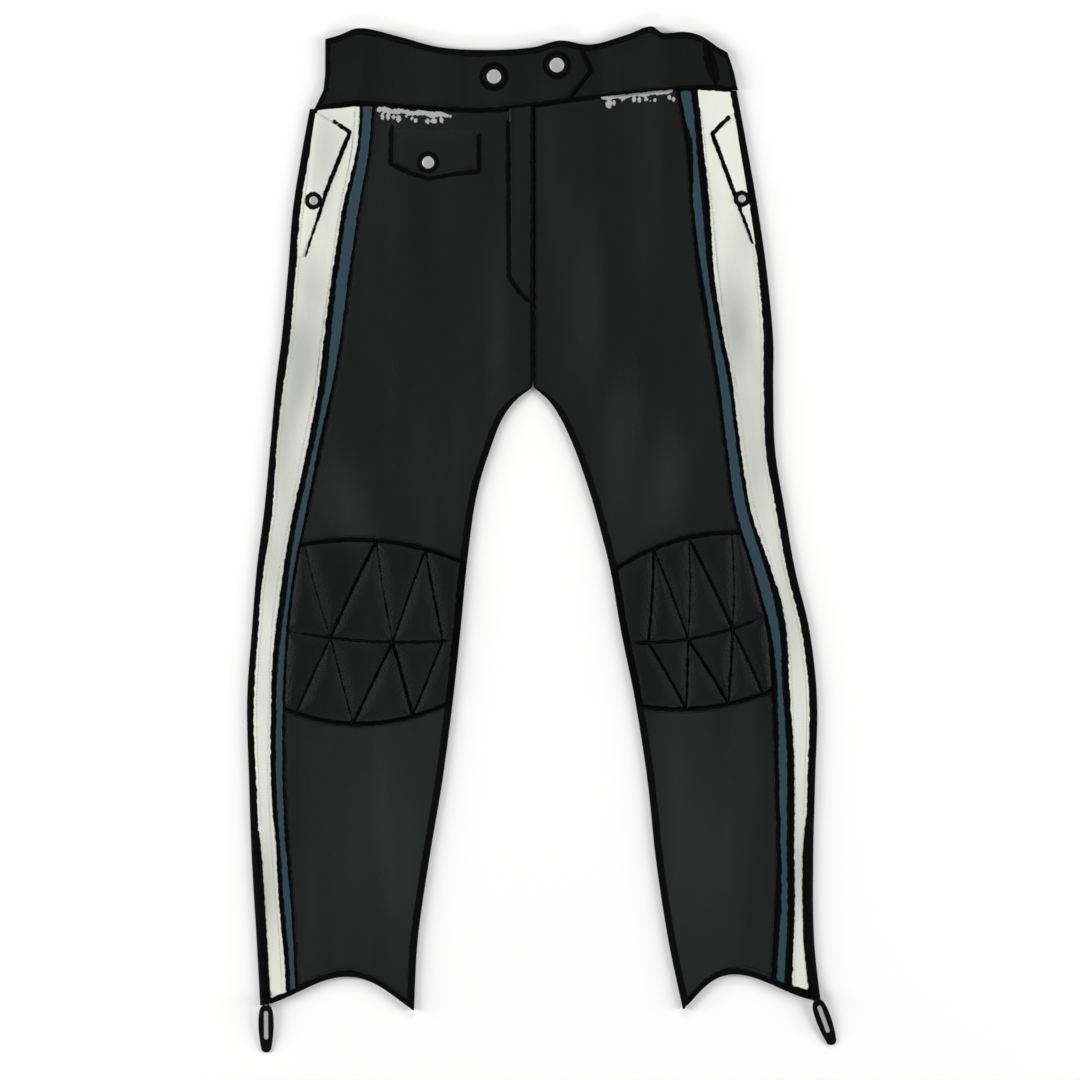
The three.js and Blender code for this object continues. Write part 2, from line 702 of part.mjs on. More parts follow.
function coinFlap() {
  const bottom = (share) => {
    const rows = COIN_FLAP.bottom;
    const i = Math.min(rows.findLastIndex((row) => row.share <= share), rows.length - 2);
    const t = (share - rows[i].share) / (rows[i + 1].share - rows[i].share);
    return lerp(rows[i].y, rows[i + 1].y, t);
  };
  const across = [0, 0.08, 0.2, 0.31, 0.43, 0.56, 0.7, 0.85, 1];
  const plan = (share, v) => [
    lerp(COIN_FLAP.left, COIN_FLAP.right, share),
    lerp(bottom(share), COIN_FLAP.top, v),
  ];
  return laidPiece(across, shares(5), plan, FLAP_WALL);
}

function sideFlap(legName) {
  const corners = SIDE_FLAPS[legName];
  const between = (a, b, t) => [lerp(a[0], b[0], t), lerp(a[1], b[1], t)];
  const plan = (share, v) => {
    const outer = between(corners.tipOuter, corners.topOuter, v);
    const inner = between(corners.tipInner, corners.topInner, v);
    return between(outer, inner, share);
  };
  return laidPiece(shares(4), shares(10), plan, FLAP_WALL);
}

function flyPlacket() {
  const plan = (share, v) => {
    const x = lerp(-PLACKET.width, -PLACKET.edge, share);
    const bottom = PLACKET.tip + (PLACKET.corner - PLACKET.tip) * (1 - share) ** 1.5;
    return [x, lerp(bottom, waistSeam(x) - 2 * SEAM, v)];
  };
  return laidPiece(shares(5), shares(12), plan, PLACKET_WALL);
}

// ---------------------------------------------------------------- press studs

function stud(radius) {
  const profile = [
    [0, 0],
    [1, 0],
    [1, 0.7],
    [0.93, 1.2],
    [0.8, 1.4],
    [0.68, 1.1],
    [0.62, 1.5],
    [0.4, 2.0],
    [0, 2.2],
  ];
  const points = profile.map(([share, height]) => new THREE.Vector2(share * radius, height));
  const geometry = new THREE.LatheGeometry(points, 20);
  geometry.rotateX(Math.PI / 2);
  return geometry;
}

const studHeight = (row) =>
  row.on === "band" ? 2 * BAND_RADIUS + SEAM : frontTop(row.x, row.y) + SEAM + FLAP_WALL + SEAM;

// ---------------------------------------------------------------- zip slider and pull

const SLIDER = { width: 9, foot: 6.4, length: 11, thick: 1.6 };
const BRIDGE = { width: 1.6, from: 0.3, to: 9.2, leg: 1.0, clear: 4.5, top: 5.4 };
const PIVOT = { y: 2.6, z: 3.2, radius: 0.7 };
const PULL = {
  length: 58,
  width: 16,
  neck: 6.8,
  tip: 11,
  thick: 1.4,
  slot: 2.6,
  slotEnd: 7.4,
  recess: 0.35,
  recessWidth: 4.6,
  recessFrom: 13,
  recessTo: 44,
};

function asManifold(geometry) {
  const plain = new THREE.BufferGeometry().setAttribute("position", geometry.getAttribute("position"));
  if (geometry.index) plain.setIndex(geometry.index);
  const loose = plain.index ? plain.toNonIndexed() : plain;
  const seen = new Map();
  const vertices = [];
  const triangles = [];
  const position = loose.getAttribute("position");
  for (let i = 0; i < position.count; i += 1) {
    const point = [position.getX(i), position.getY(i), position.getZ(i)];
    const key = point.map((value) => value.toFixed(4)).join();
    if (!seen.has(key)) {
      seen.set(key, vertices.length / 3);
      vertices.push(...point);
    }
    triangles.push(seen.get(key));
  }
  const mesh = new wasm.Mesh({
    numProp: 3,
    vertProperties: new Float32Array(vertices),
    triVerts: new Uint32Array(triangles),
  });
  return new wasm.Manifold(mesh);
}

function asGeometry(manifold) {
  const mesh = manifold.getMesh();
  const geometry = new THREE.BufferGeometry();
  geometry.setAttribute("position", new THREE.BufferAttribute(new Float32Array(mesh.vertProperties), 3));
  geometry.setIndex(new THREE.BufferAttribute(new Uint32Array(mesh.triVerts), 1));
  geometry.computeVertexNormals();
  return geometry;
}

const plate = (shape, depth, steps = 6) =>
  new THREE.ExtrudeGeometry(shape, { depth, bevelEnabled: false, curveSegments: steps });

// The slider's body with the bridge that holds the pull. Its foot is at the origin.
function sliderGeometry() {
  const outline = new THREE.Shape();
  outline.moveTo(-SLIDER.foot / 2, 0);
  outline.lineTo(SLIDER.foot / 2, 0);
  outline.lineTo(SLIDER.width / 2, SLIDER.length * 0.55);
  outline.quadraticCurveTo(SLIDER.width / 2, SLIDER.length, 0, SLIDER.length);
  outline.quadraticCurveTo(-SLIDER.width / 2, SLIDER.length, -SLIDER.width / 2, SLIDER.length * 0.55);
  outline.closePath();
  const body = plate(outline, SLIDER.thick);
  // The bridge is drawn in the plane of Y and Z and extruded across X.
  const arch = new THREE.Shape();
  const low = SLIDER.thick - 0.2;
  arch.moveTo(BRIDGE.from, low);
  arch.lineTo(BRIDGE.from + BRIDGE.leg, low);
  arch.lineTo(BRIDGE.from + BRIDGE.leg, BRIDGE.clear);
  arch.lineTo(BRIDGE.to - BRIDGE.leg, BRIDGE.clear);
  arch.lineTo(BRIDGE.to - BRIDGE.leg, low);
  arch.lineTo(BRIDGE.to, low);
  arch.lineTo(BRIDGE.to, BRIDGE.top - 0.5);
  arch.lineTo(BRIDGE.to - 0.7, BRIDGE.top);
  arch.lineTo(BRIDGE.from + 0.7, BRIDGE.top);
  arch.lineTo(BRIDGE.from, BRIDGE.top - 0.5);
  arch.closePath();
  const bridge = plate(arch, BRIDGE.width);
  const toYZ = new THREE.Matrix4().makeBasis(
    new THREE.Vector3(0, 1, 0),
    new THREE.Vector3(0, 0, 1),
    new THREE.Vector3(1, 0, 0),
  );
  bridge.applyMatrix4(toYZ).translate(-BRIDGE.width / 2, 0, 0);
  return asGeometry(asManifold(body).add(asManifold(bridge)));
}

// The pull: a long plate that hangs from a round bar. Its pivot is at the origin, and it runs
// along -Y. A shallow recess runs down its upper face.
function pullGeometry() {
  const half = PULL.width / 2;
  const neck = PULL.neck / 2;
  const tip = PULL.tip / 2;
  const wide = -PULL.length * 0.45; // where the plate is widest
  const end = -PULL.length + tip;
  const outline = new THREE.Shape();
  outline.moveTo(-neck, 0);
  outline.lineTo(-neck, -PULL.slotEnd);
  outline.quadraticCurveTo(-half, -PULL.slotEnd - 2, -half, wide);
  outline.quadraticCurveTo(-half, (wide + end) / 2, -tip, end);
  outline.absarc(0, end, tip, Math.PI, 2 * Math.PI, false);
  outline.quadraticCurveTo(half, (wide + end) / 2, half, wide);
  outline.quadraticCurveTo(half, -PULL.slotEnd - 2, neck, -PULL.slotEnd);
  outline.lineTo(neck, 0);
  outline.closePath();
  const body = plate(outline, PULL.thick).translate(0, 0, -PULL.thick / 2);
  const slot = new THREE.BoxGeometry(PULL.slot, PULL.slotEnd, 4 * PULL.thick);
  slot.translate(0, -PULL.slotEnd / 2, 0);
  const bar = new THREE.CylinderGeometry(PIVOT.radius, PIVOT.radius, PULL.neck, 12).rotateZ(Math.PI / 2);
  const groove = new THREE.Shape();
  const edge = PULL.recessWidth / 2;
  groove.absarc(0, -PULL.recessFrom - edge, edge, 0, Math.PI, false);
  groove.absarc(0, -PULL.recessTo + edge, edge, Math.PI, 2 * Math.PI, false);
  const recess = plate(groove, 1).translate(0, 0, PULL.thick / 2 - PULL.recess);
  const cut = asManifold(body).subtract(asManifold(slot)).subtract(asManifold(recess));
  return asGeometry(cut.add(asManifold(bar)));
}

// ---------------------------------------------------------------- assembly

function finish(color, roughness, metalness) {
  return new THREE.MeshStandardMaterial({ color, roughness, metalness });
}
const blackLeather = finish(0x242626, 0.5, 0);
const bandLeather = finish(0x1d1f1f, 0.5, 0);
const kneeLeather = finish(0x1f2121, 0.48, 0);
const whiteLeather = finish(0xdadcd2, 0.45, 0);
const blueLeather = finish(0x334752, 0.5, 0);
const zipFabric = finish(0x141516, 0.8, 0);
const nickel = finish(0xa7a7a7, 0.3, 1);
const gunmetal = finish(0x3a3b3d, 0.35, 1);

const trousers = new THREE.Group();

function add(name, geometry, material, parent = trousers) {
  const mesh = new THREE.Mesh(geometry, material);
  mesh.name = name;
  parent.add(mesh);
  return mesh;
}

for (const legName of Object.keys(SIDES)) {
  add("back_" + legName, backPanel(legName), blackLeather);
  add("front_upper_" + legName, upperFront(legName), blackLeather);
  add("knee_" + legName, quiltedKnee(legName), kneeLeather);
  add("front_lower_" + legName, lowerFront(legName), blackLeather);
  add("white_strip_" + legName, whiteStrip(legName), whiteLeather);
  add("blue_strip_" + legName, blueStrip(legName), blueLeather);
  add("zip_tape_" + legName, zipTape(legName), zipFabric);
  add("pocket_flap_" + legName, sideFlap(legName), whiteLeather);
}
add("band_back", bandBack(), bandLeather);
add("band_front_left", bandFrontLeft(), bandLeather);
add("band_front_right", bandFrontRight(), bandLeather);
add("fly_placket", flyPlacket(), blackLeather);
add("coin_flap", coinFlap(), blackLeather);
for (const row of STUDS) {
  add(row.name, stud(row.radius), nickel).position.set(row.x, row.y, studHeight(row));
}

// The pull slopes down from the slider's bridge until its tip lies on the surface.
const tapeTop = 2 * FOLD_RADIUS + SETTLED + SEAM;
const pivotHeight = tapeTop + PIVOT.z;
const TIP_CLEARANCE = 0.1;
const pullSlope = Math.asin((pivotHeight - PULL.thick / 2 - TIP_CLEARANCE) / PULL.length);
for (const [legName, place] of Object.entries(ZIP_HARDWARE)) {
  const hardware = new THREE.Group();
  hardware.position.set(place.x, place.y, tapeTop);
  hardware.rotation.z = THREE.MathUtils.degToRad(place.turn);
  trousers.add(hardware);
  add("slider_" + legName, sliderGeometry(), gunmetal, hardware);
  const pull = add("pull_" + legName, pullGeometry(), nickel, hardware);
  pull.position.set(0, PIVOT.y, PIVOT.z);
  pull.rotation.x = pullSlope;
}

// The origin is on the surface, under the middle of the trousers' outline.
trousers.updateMatrixWorld(true);
const outline = new THREE.Box3().setFromObject(trousers, true);
const middle = outline.getCenter(new THREE.Vector3());
trousers.position.set(-middle.x, -middle.y, 0);

export default trousers;
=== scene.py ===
import json
import math

import bmesh
import bpy
import numpy as np
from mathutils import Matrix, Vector


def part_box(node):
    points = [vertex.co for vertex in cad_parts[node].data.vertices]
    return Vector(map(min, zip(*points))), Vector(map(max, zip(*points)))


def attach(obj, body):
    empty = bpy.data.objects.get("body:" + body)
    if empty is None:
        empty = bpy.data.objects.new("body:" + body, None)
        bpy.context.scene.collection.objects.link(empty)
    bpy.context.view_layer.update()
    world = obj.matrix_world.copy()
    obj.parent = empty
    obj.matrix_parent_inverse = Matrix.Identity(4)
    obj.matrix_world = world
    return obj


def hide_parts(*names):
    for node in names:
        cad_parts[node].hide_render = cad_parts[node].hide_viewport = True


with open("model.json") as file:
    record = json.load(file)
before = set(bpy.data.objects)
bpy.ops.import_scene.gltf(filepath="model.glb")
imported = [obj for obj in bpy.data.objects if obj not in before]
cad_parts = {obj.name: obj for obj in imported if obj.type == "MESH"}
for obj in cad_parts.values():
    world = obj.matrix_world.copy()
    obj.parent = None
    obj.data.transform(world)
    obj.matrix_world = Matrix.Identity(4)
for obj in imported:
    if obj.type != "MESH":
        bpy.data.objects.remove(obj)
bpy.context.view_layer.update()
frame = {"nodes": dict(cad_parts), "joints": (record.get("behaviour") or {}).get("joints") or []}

# ---------------------------------------------------------------- camera
# The trousers lie on the floor and are looked at from straight above, waistband at the top,
# through a long lens, so that nothing leans outwards.


def add_object(name, data):
    made = bpy.data.objects.new(name, data)
    bpy.context.scene.collection.objects.link(made)
    return made


camera_data = bpy.data.cameras.new("camera")
camera_data.sensor_width = 36
camera_data.lens = 190.5
camera = add_object("camera", camera_data)
camera.location = (-0.0018, 0.0003, 6.0)
bpy.context.scene.camera = camera
bpy.context.scene.view_settings.view_transform = "Standard"

# ---------------------------------------------------------------- floor and lights
# A matt near-white studio floor. Long soft lights stand low on both sides, and weaker ones at
# the head and foot, so the space straight overhead stays dark and black leather stays black.


def linear(code):
    """A colour written as sRGB hex, in the linear values that a shader takes."""
    parts = [int(code[i : i + 2], 16) / 255 for i in (1, 3, 5)]
    return [c / 12.92 if c <= 0.04045 else ((c + 0.055) / 1.055) ** 2.4 for c in parts] + [1.0]


def add_node(tree, kind, links=(), values=(), **settings):
    """Adds a node. links and values are dicts from an input's name or number to a socket or value."""
    node = tree.nodes.new(kind)
    for name, value in settings.items():
        setattr(node, name, value)
    for socket, value in dict(values).items():
        node.inputs[socket].default_value = value
    for socket, source in dict(links).items():
        tree.links.new(source, node.inputs[socket])
    return node


def new_material(name):
    material = bpy.data.materials.new(name)
    material.use_nodes = True
    material.node_tree.nodes.clear()
    return material, material.node_tree


# Matt vinyl floor: no gloss, a very faint unevenness in its white.
floor_vinyl, tree = new_material("matt_vinyl_floor")
place = add_node(tree, "ShaderNodeTexCoord")
cloud = add_node(tree, "ShaderNodeTexNoise", {"Vector": place.outputs["Object"]}, {"Scale": 1.3})
whites = {6: linear("#f9f9f8"), 7: linear("#fcfcfc")}
tone = add_node(tree, "ShaderNodeMix", {0: cloud.outputs["Fac"]}, whites, data_type="RGBA")
skin = add_node(
    tree,
    "ShaderNodeBsdfPrincipled",
    {"Base Color": tone.outputs[2]},
    {"Roughness": 0.95, "Specular IOR Level": 0.1},
)
add_node(tree, "ShaderNodeOutputMaterial", {"Surface": skin.outputs[0]})

floor_mesh = bpy.data.meshes.new("floor")
floor_z = -0.0004  # a hair under the leather, so that the two faces stay apart
floor_corners = [(x, y, floor_z) for x, y in ((-6, -6), (6, -6), (6, 6), (-6, 6))]
floor_mesh.from_pydata(floor_corners, [], [(0, 1, 2, 3)])
floor_mesh.materials.append(floor_vinyl)
floor = add_object("floor", floor_mesh)

world = bpy.data.worlds.new("studio")
bpy.context.scene.world = world
world.use_nodes = True
world.node_tree.nodes["Background"].inputs["Color"].default_value = linear("#ffffff")
world.node_tree.nodes["Background"].inputs["Strength"].default_value = 0.1

for name, spot, size, power in (
    ("left_light", (-3.0, 0.3, 1.55), (1.0, 2.6), 98),
    ("right_light", (3.0, 0.1, 1.55), (1.0, 2.6), 84),
    ("head_light", (0.1, 3.2, 1.9), (2.4, 0.9), 44),
    ("foot_light", (-0.2, -3.2, 1.9), (2.4, 0.9), 39),
):
    light = bpy.data.lights.new(name, "AREA")
    light.shape = "RECTANGLE"
    light.size, light.size_y = size
    light.energy = power
    holder = add_object(name, light)
    holder.location = spot
    holder.rotation_euler = (-Vector(spot)).to_track_quat("-Z", "Y").to_euler()

# ---------------------------------------------------------------- back panels
# One black leather panel a leg, cut from waist to hem. It lies flat on the floor, and its long
# edges turn up to meet the front halfway round the side fold and the inseam.
# Sizes here and below are millimetres from the centre seam and from the hem corners.
hinge = np.array(next(j["pos_m"] for j in frame["joints"] if j["child"] == "right_pull"))
origin = np.array([-280.0, 7.6, 0.0]) - hinge * [1000, 1000, 0]
wall = 2.2
fold_radius = 4.1
settled = -1.0
crotch, crotch_turn = 649, 12
seam_turn = 0.04  # front and back stop this angle short of each other round a fold
half_gap = 0.15  # half the gap between two sewn pieces
far = 99.0  # farther from a seam than anything that the seam does
dye_and_shade_reach = 1.95  # an edge mark of this many millimetres is where the edge dye and painted shade end
stitch_step = 4.0  # between the points of a line of stitches
zip_above = 1.5  # the white strip steps aside for the zip up to here above the zip's top

side_lines = {
    "right": {
        "y": [958, 898, 835, 772, 698, 651, 583, 520, 457, 394, 320, 236, 152, 68, -5],
        "outer": [231, 242, 252, 257, 264, 270, 276, 282, 290, 295, 300, 298, 295, 290, 286],
        "white": [180, 184, 197, 206, 217, 223, 236, 248, 260, 268, 271, 272, 267, 260, 256],
        "blue": [167, 172, 183, 192, 202, 210, 224, 237, 250, 258, 262, 262, 257, 251, 247],
    },
    "left": {
        "y": [963, 898, 835, 772, 698, 651, 583, 520, 457, 394, 320, 236, 152, 68, -5],
        "outer": [213, 225, 236, 245, 252, 252, 254, 264, 275, 290, 298, 296, 294, 295, 303],
        "white": [167, 175, 182, 188, 198, 207, 216, 227, 246, 261, 266, 269, 270, 269, 267],
        "blue": [152, 163, 168, 174, 186, 194, 203, 212, 231, 247, 253, 256, 258, 254, 250],
    },
}
inseam = {
    "y": [649, 635, 614, 583, 552, 520, 457, 394, 320, 236, 152, 68, -8],
    "right": [0, 18, 33, 45, 55, 62, 70, 76, 84, 95, 109, 121, 125],
    "left": [0, 16, 30, 44, 55, 65, 81, 92, 107, 120, 129, 142, 158],
}
band_edges = {
    "x": [-232, -205, -182, -140, -98, -45, 0, 28, 60, 98, 124, 136, 160, 178, 194, 215],
    "top": [1010, 1017, 1025, 1016, 1005, 1002, 1005, 1012, 1008, 1018, 1027, 1020, 1021, 1016, 1005, 994],
    "seam": [941, 944, 946, 943, 940, 939, 944, 948, 952, 956, 959, 960, 962, 963, 962, 960],
}
hems = {"right": {"outer": 0, "inner": -5, "lean": 1.25}, "left": {"outer": 5, "inner": -4, "lean": 1.35}}


def lerp(a, b, t):
    return a + (b - a) * t


def bell(gap, width):
    """1 where the gap is 0, and falling smoothly to nothing over about twice the width."""
    return np.exp(-((gap / width) ** 2))


def smooth(low, high, t):
    t = np.clip((np.asarray(t, float) - low) / (high - low), 0, 1)
    return t * t * (3 - 2 * t)


def through(table, key, column):
    """A smooth curve through a table's column."""
    order = np.argsort(table[key])
    at, value = np.array(table[key], float)[order], np.array(table[column], float)[order]
    slope = np.empty_like(value)
    slope[1:-1] = (value[2:] - value[:-2]) / (at[2:] - at[:-2])
    slope[0] = (value[1] - value[0]) / (at[1] - at[0])
    slope[-1] = (value[-1] - value[-2]) / (at[-1] - at[-2])

    def read(x):
        x = np.asarray(x, float)
        i = np.clip(np.searchsorted(at, x) - 1, 0, len(at) - 2)
        span, rise = at[i + 1] - at[i], value[i + 1] - value[i]
        t, a, b = (x - at[i]) / span, slope[i] * span, slope[i + 1] * span
        curve = value[i] + t * (a + t * (3 * rise - 2 * a - b + t * (a + b - 2 * rise)))
        return np.where((t < 0) | (t > 1), value[i] + t * rise, curve)

    return read


legs = {}
for name, sign in (("right", -1), ("left", 1)):
    inner_line = through(inseam, "y", name)
    legs[name] = {
        "sign": sign,
        **{c: through(side_lines[name], "y", c) for c in ("outer", "white", "blue")},
        "inner": lambda y, line=inner_line: np.maximum(np.where(y < crotch, line(y), 0), half_gap),
    }
band_top = through(band_edges, "x", "top")
waist_seam = through(band_edges, "x", "seam")


def hem_of(name, lift=0.0):
    """The hem's height at a distance from the centre line: arched up over the instep."""
    leg, hem = legs[name], hems[name]

    def at(away, y):
        share = np.clip((leg["outer"](y) - away) / (leg["outer"](y) - leg["inner"](y)), 0, 1)
        arch = 33 * np.sin(np.pi * share ** hem["lean"]).clip(0) ** 1.2
        return lerp(hem["outer"], hem["inner"], share) + arch + lift

    return at


def waist_of(name):
    return lambda away, y: waist_seam(legs[name]["sign"] * away) - half_gap


# Soft folds and drag lines of the fronts. Each has a middle, a length and a width, a rise, a lean
# from the upright in degrees, and a bow: how far its ends bend aside.
folds = {
    "x": [-77, -119, -160, -190, -52, -105, 55, 88, 142, 125, 118, 50, -196, -142, -168, 165, 186, 212, -238,
        222],
    "y": [775, 640, 650, 530, 690, 560, 745, 604, 545, 790, 620, 690, 190, 165, 200, 240, 130, 200, 694, 738],
    "length": [190, 230, 210, 100, 100, 120, 150, 150, 110, 250, 150, 100, 220, 230, 200, 150, 150, 190, 46,
        46],
    "width": [34, 40, 30, 36, 24, 26, 30, 32, 36, 36, 26, 24, 28, 40, 24, 30, 42, 26, 30, 34],
    "rise": [1, 0.8, -1.4, 1, -1.5, -1.3, 1, 1, 1, -1.4, -1.4, -1.5, 0.9, 1, -1.4, 0.8, 1, -1.4, -1, -1],
    "lean": [-3, 4, 5, -12, 38, 14, 3, 6, 10, -4, -2, -36, 3, -6, -2, 6, 8, 4, 70, -72],
    "bow": [0] * 20,
}
creases = {
    "x": [-33, -47, -60, -30, -24, -44, 26, 40, 22, 60, -96, -150, -178, -205, -128, -74, 82, 108, 170, 150,
          92, 66, -215, -190, -120, -104, 130, 200, 232, 158, -150, 190, -248, -262, 268, 262, -282, 284],
    "y": [655, 664, 640, 700, 742, 596, 658, 668, 706, 630, 500, 506, 560, 620, 830, 880, 505, 494, 560, 600,
          860, 800, 292, 300, 290, 60, 300, 296, 70, 60, 70, 330, 560, 420, 500, 420, 90, 110],
    "length": [70, 90, 80, 60, 50, 90, 66, 90, 60, 80, 50, 60, 90, 120, 110, 70, 50, 56, 90, 110,
               120, 130, 46, 50, 44, 60, 44, 50, 60, 66, 80, 40, 70, 60, 60, 50, 60, 70],
    "width": [8, 10, 12, 8, 7, 12, 8, 10, 8, 13, 12, 14, 16, 18, 20, 14, 12, 14, 18, 20,
              18, 20, 10, 12, 10, 12, 10, 12, 12, 12, 16, 10, 14, 12, 14, 12, 10, 12],
    "rise": [-0.7, 0.5, -0.5, -0.5, 0.4, 0.5, -0.7, 0.5, -0.5, -0.4, -0.5, 0.4, -0.4, 0.4, 0.4, -0.4, -0.5,
             0.4, -0.4, 0.4, 0.4, -0.4, -0.6, 0.4, -0.5, -0.5, -0.5, 0.5, -0.4, 0.4, -0.4, -0.5,
             -0.5, 0.4, -0.5, 0.4, -0.4, -0.4],
    "lean": [52, 46, 40, 66, 74, 30, -50, -44, -66, -34, 62, 70, 20, -8, 6, -12, -64, -72, -16, 10,
             -6, 8, 78, 84, 80, 20, -80, -76, -20, -12, 30, 80, 40, -30, -44, 30, 8, -6],
    "bow": [8, 10, 8, 6, 5, 12, -8, -10, -6, -8, 6, 8, 6, 8, 5, -4, -6, -8, -5, 6,
            5, 6, 5, 6, -5, 6, -5, 5, -6, 5, 6, 5, 6, 5, -6, 5, 4, 5],
}


def rises(table, x, y):
    """The height that a table of folds adds at each point."""
    total = np.zeros(np.broadcast(x, y).shape)
    for mx, my, length, width, rise, lean, bow in zip(*table.values()):
        turn = math.radians(lean)
        dx, dy = x - mx, y - my
        along = (dx * math.sin(turn) + dy * math.cos(turn)) / (length / 2)
        across = (dx * math.cos(turn) - dy * math.sin(turn) - bow * along**2) / (width / 2)
        total += rise * np.exp(-(across**2)) * np.exp(-(along**2))
    return total


def lie(x, y):
    """Height of the front's face above the floor."""
    base = 2 * fold_radius + settled + np.clip(rises(folds, x, y), -1.8, 1.0)
    return base + rises(creases, x, y)


def leg_point(leg, layer, column, y):
    """Points of a column of a leg's wall, and which way its face looks there."""
    sign = leg["sign"]
    up = 1.0 if layer == "front" else -1.0
    if "at" in column:
        x = sign * column["at"](y)
        z = lie(x, y) if layer == "front" else 0 * x
        return np.stack([x, y, z], -1), np.stack([0 * x, 0 * x, up + 0 * x], -1)
    turn, edge = column["turn"], column["edge"]
    if "beside" in column:
        zipped = (y < column["top"] + zip_above)[..., None]
        low = leg_point(leg, layer, {"at": column["beside"]}, y)
        high = leg_point(leg, layer, {"edge": edge, "turn": turn}, y)
        return tuple(np.where(zipped, a, b) for a, b in zip(low, high))
    line = leg[edge]
    outward = sign if edge == "outer" else -sign
    rounded = 1 + 0 * y if edge == "outer" else 1 - smooth(crotch, crotch + crotch_turn, y)
    low = y if edge == "outer" else np.minimum(y, crotch - 2)
    slope = (line(low + 2) - line(low - 2)) / 4 * rounded
    across = np.stack([outward + 0 * y, -outward * sign * slope], -1)
    across /= np.linalg.norm(across, axis=-1, keepdims=True)
    inset = fold_radius * (1 - math.cos(turn))
    x = sign * line(y) - across[..., 0] * inset
    y = y - across[..., 1] * inset
    top = lie(x, y)
    if turn >= 0:
        flat, rim = top, fold_radius + (top - fold_radius) * math.sin(turn)
    else:
        flat, rim = 0 * x, fold_radius * (1 + math.sin(turn)) + 0 * x
    face_up = lerp(up, math.sin(turn), rounded)
    face = np.stack([*(across[..., i] * math.cos(turn) * rounded for i in (0, 1)), face_up], -1)
    face /= np.linalg.norm(face, axis=-1, keepdims=True)
    return np.stack([x, y, lerp(flat, rim, rounded)], -1), face


def distance_of(leg, column, y):
    if "at" in column:
        return column["at"](y)
    inset = fold_radius * (1 - math.cos(column["turn"]))
    away = leg["outer"](y) - inset if column["edge"] == "outer" else leg["inner"](y) + inset
    return np.where(y < column["top"] + zip_above, column["beside"](y), away) if "beside" in column else away


near = [0, 0.5, 1.0, 1.6, 2.3, 3.1, 4.0, 5.0]  # how rows and columns crowd beside a seam
past_near = 6.2  # where the even spacing starts


def crowded_rows(step, length):
    """Rows as a share of the way between two seams and a distance past that."""
    middle = np.linspace(0, 1, max(int(length / step), 2))
    return (
        [(0, d) for d in near]
        + [(v, lerp(past_near, -past_near, v)) for v in middle]
        + [(1, -d) for d in reversed(near)]
    )


def columns_between(start, end, count, crowd_start=True, crowd_end=True):
    """Flat columns between two distances from the centre line, both functions of the height."""
    first = near if crowd_start else [0]
    last = near if crowd_end else [0]
    a, b = (past_near if crowd_start else 2.0), (past_near if crowd_end else 2.0)
    shares = np.linspace(0, 1, count)
    return (
        [{"at": lambda y, d=d: start(y) - d} for d in first]
        + [{"at": lambda y, s=s: lerp(start(y) - a, end(y) + b, s)} for s in shares]
        + [{"at": lambda y, d=d: end(y) + d} for d in reversed(last)]
    )


def rim_columns(edge, start, end, count):
    """Columns round a fold, from one turn to another. 0 is the edge and 90 degrees the top."""
    return [{"edge": edge, "turn": float(t)} for t in np.linspace(start, end, count)]


def leg_grid(name, layer, columns, rows, low, high, seams):
    """Grids of outer and inner points, facings and distances to the nearest seam. seams names the
    edges that are sewn: a function of the height at either side, and True for low or high."""
    leg = legs[name]
    share, past = (np.array(v, float) for v in zip(*rows))
    points, faces, edges = [], [], []
    for column in columns:
        y = np.full(len(rows), 320.0)  # a first guess, which each round brings closer
        for _ in range(9):
            away = distance_of(leg, column, y)
            bottom, top = low(away, y), high(away, y)
            y = lerp(bottom, top, share) + past
        point, face = leg_point(leg, layer, column, y)
        edge = np.full(len(rows), far)
        if "start" in seams:
            edge = np.minimum(edge, seams["start"](y) - away)
        if "end" in seams:
            edge = np.minimum(edge, away - seams["end"](y))
        if seams.get("low"):
            edge = np.minimum(edge, y - bottom)
        if seams.get("high"):
            edge = np.minimum(edge, top - y)
        points.append(point)
        faces.append(face)
        edges.append(edge)
    outer, faces = np.stack(points, 1), np.stack(faces, 1)
    return outer, outer - faces * wall, faces, np.stack(edges, 1).clip(0)


def seam_dip(edge):
    """Leather rolls down into a seam, and its row of stitches pulls a second, shallow groove."""
    return 1.5 * bell(edge, 1.7) + 0.35 * bell(edge - 4.0, 0.9)


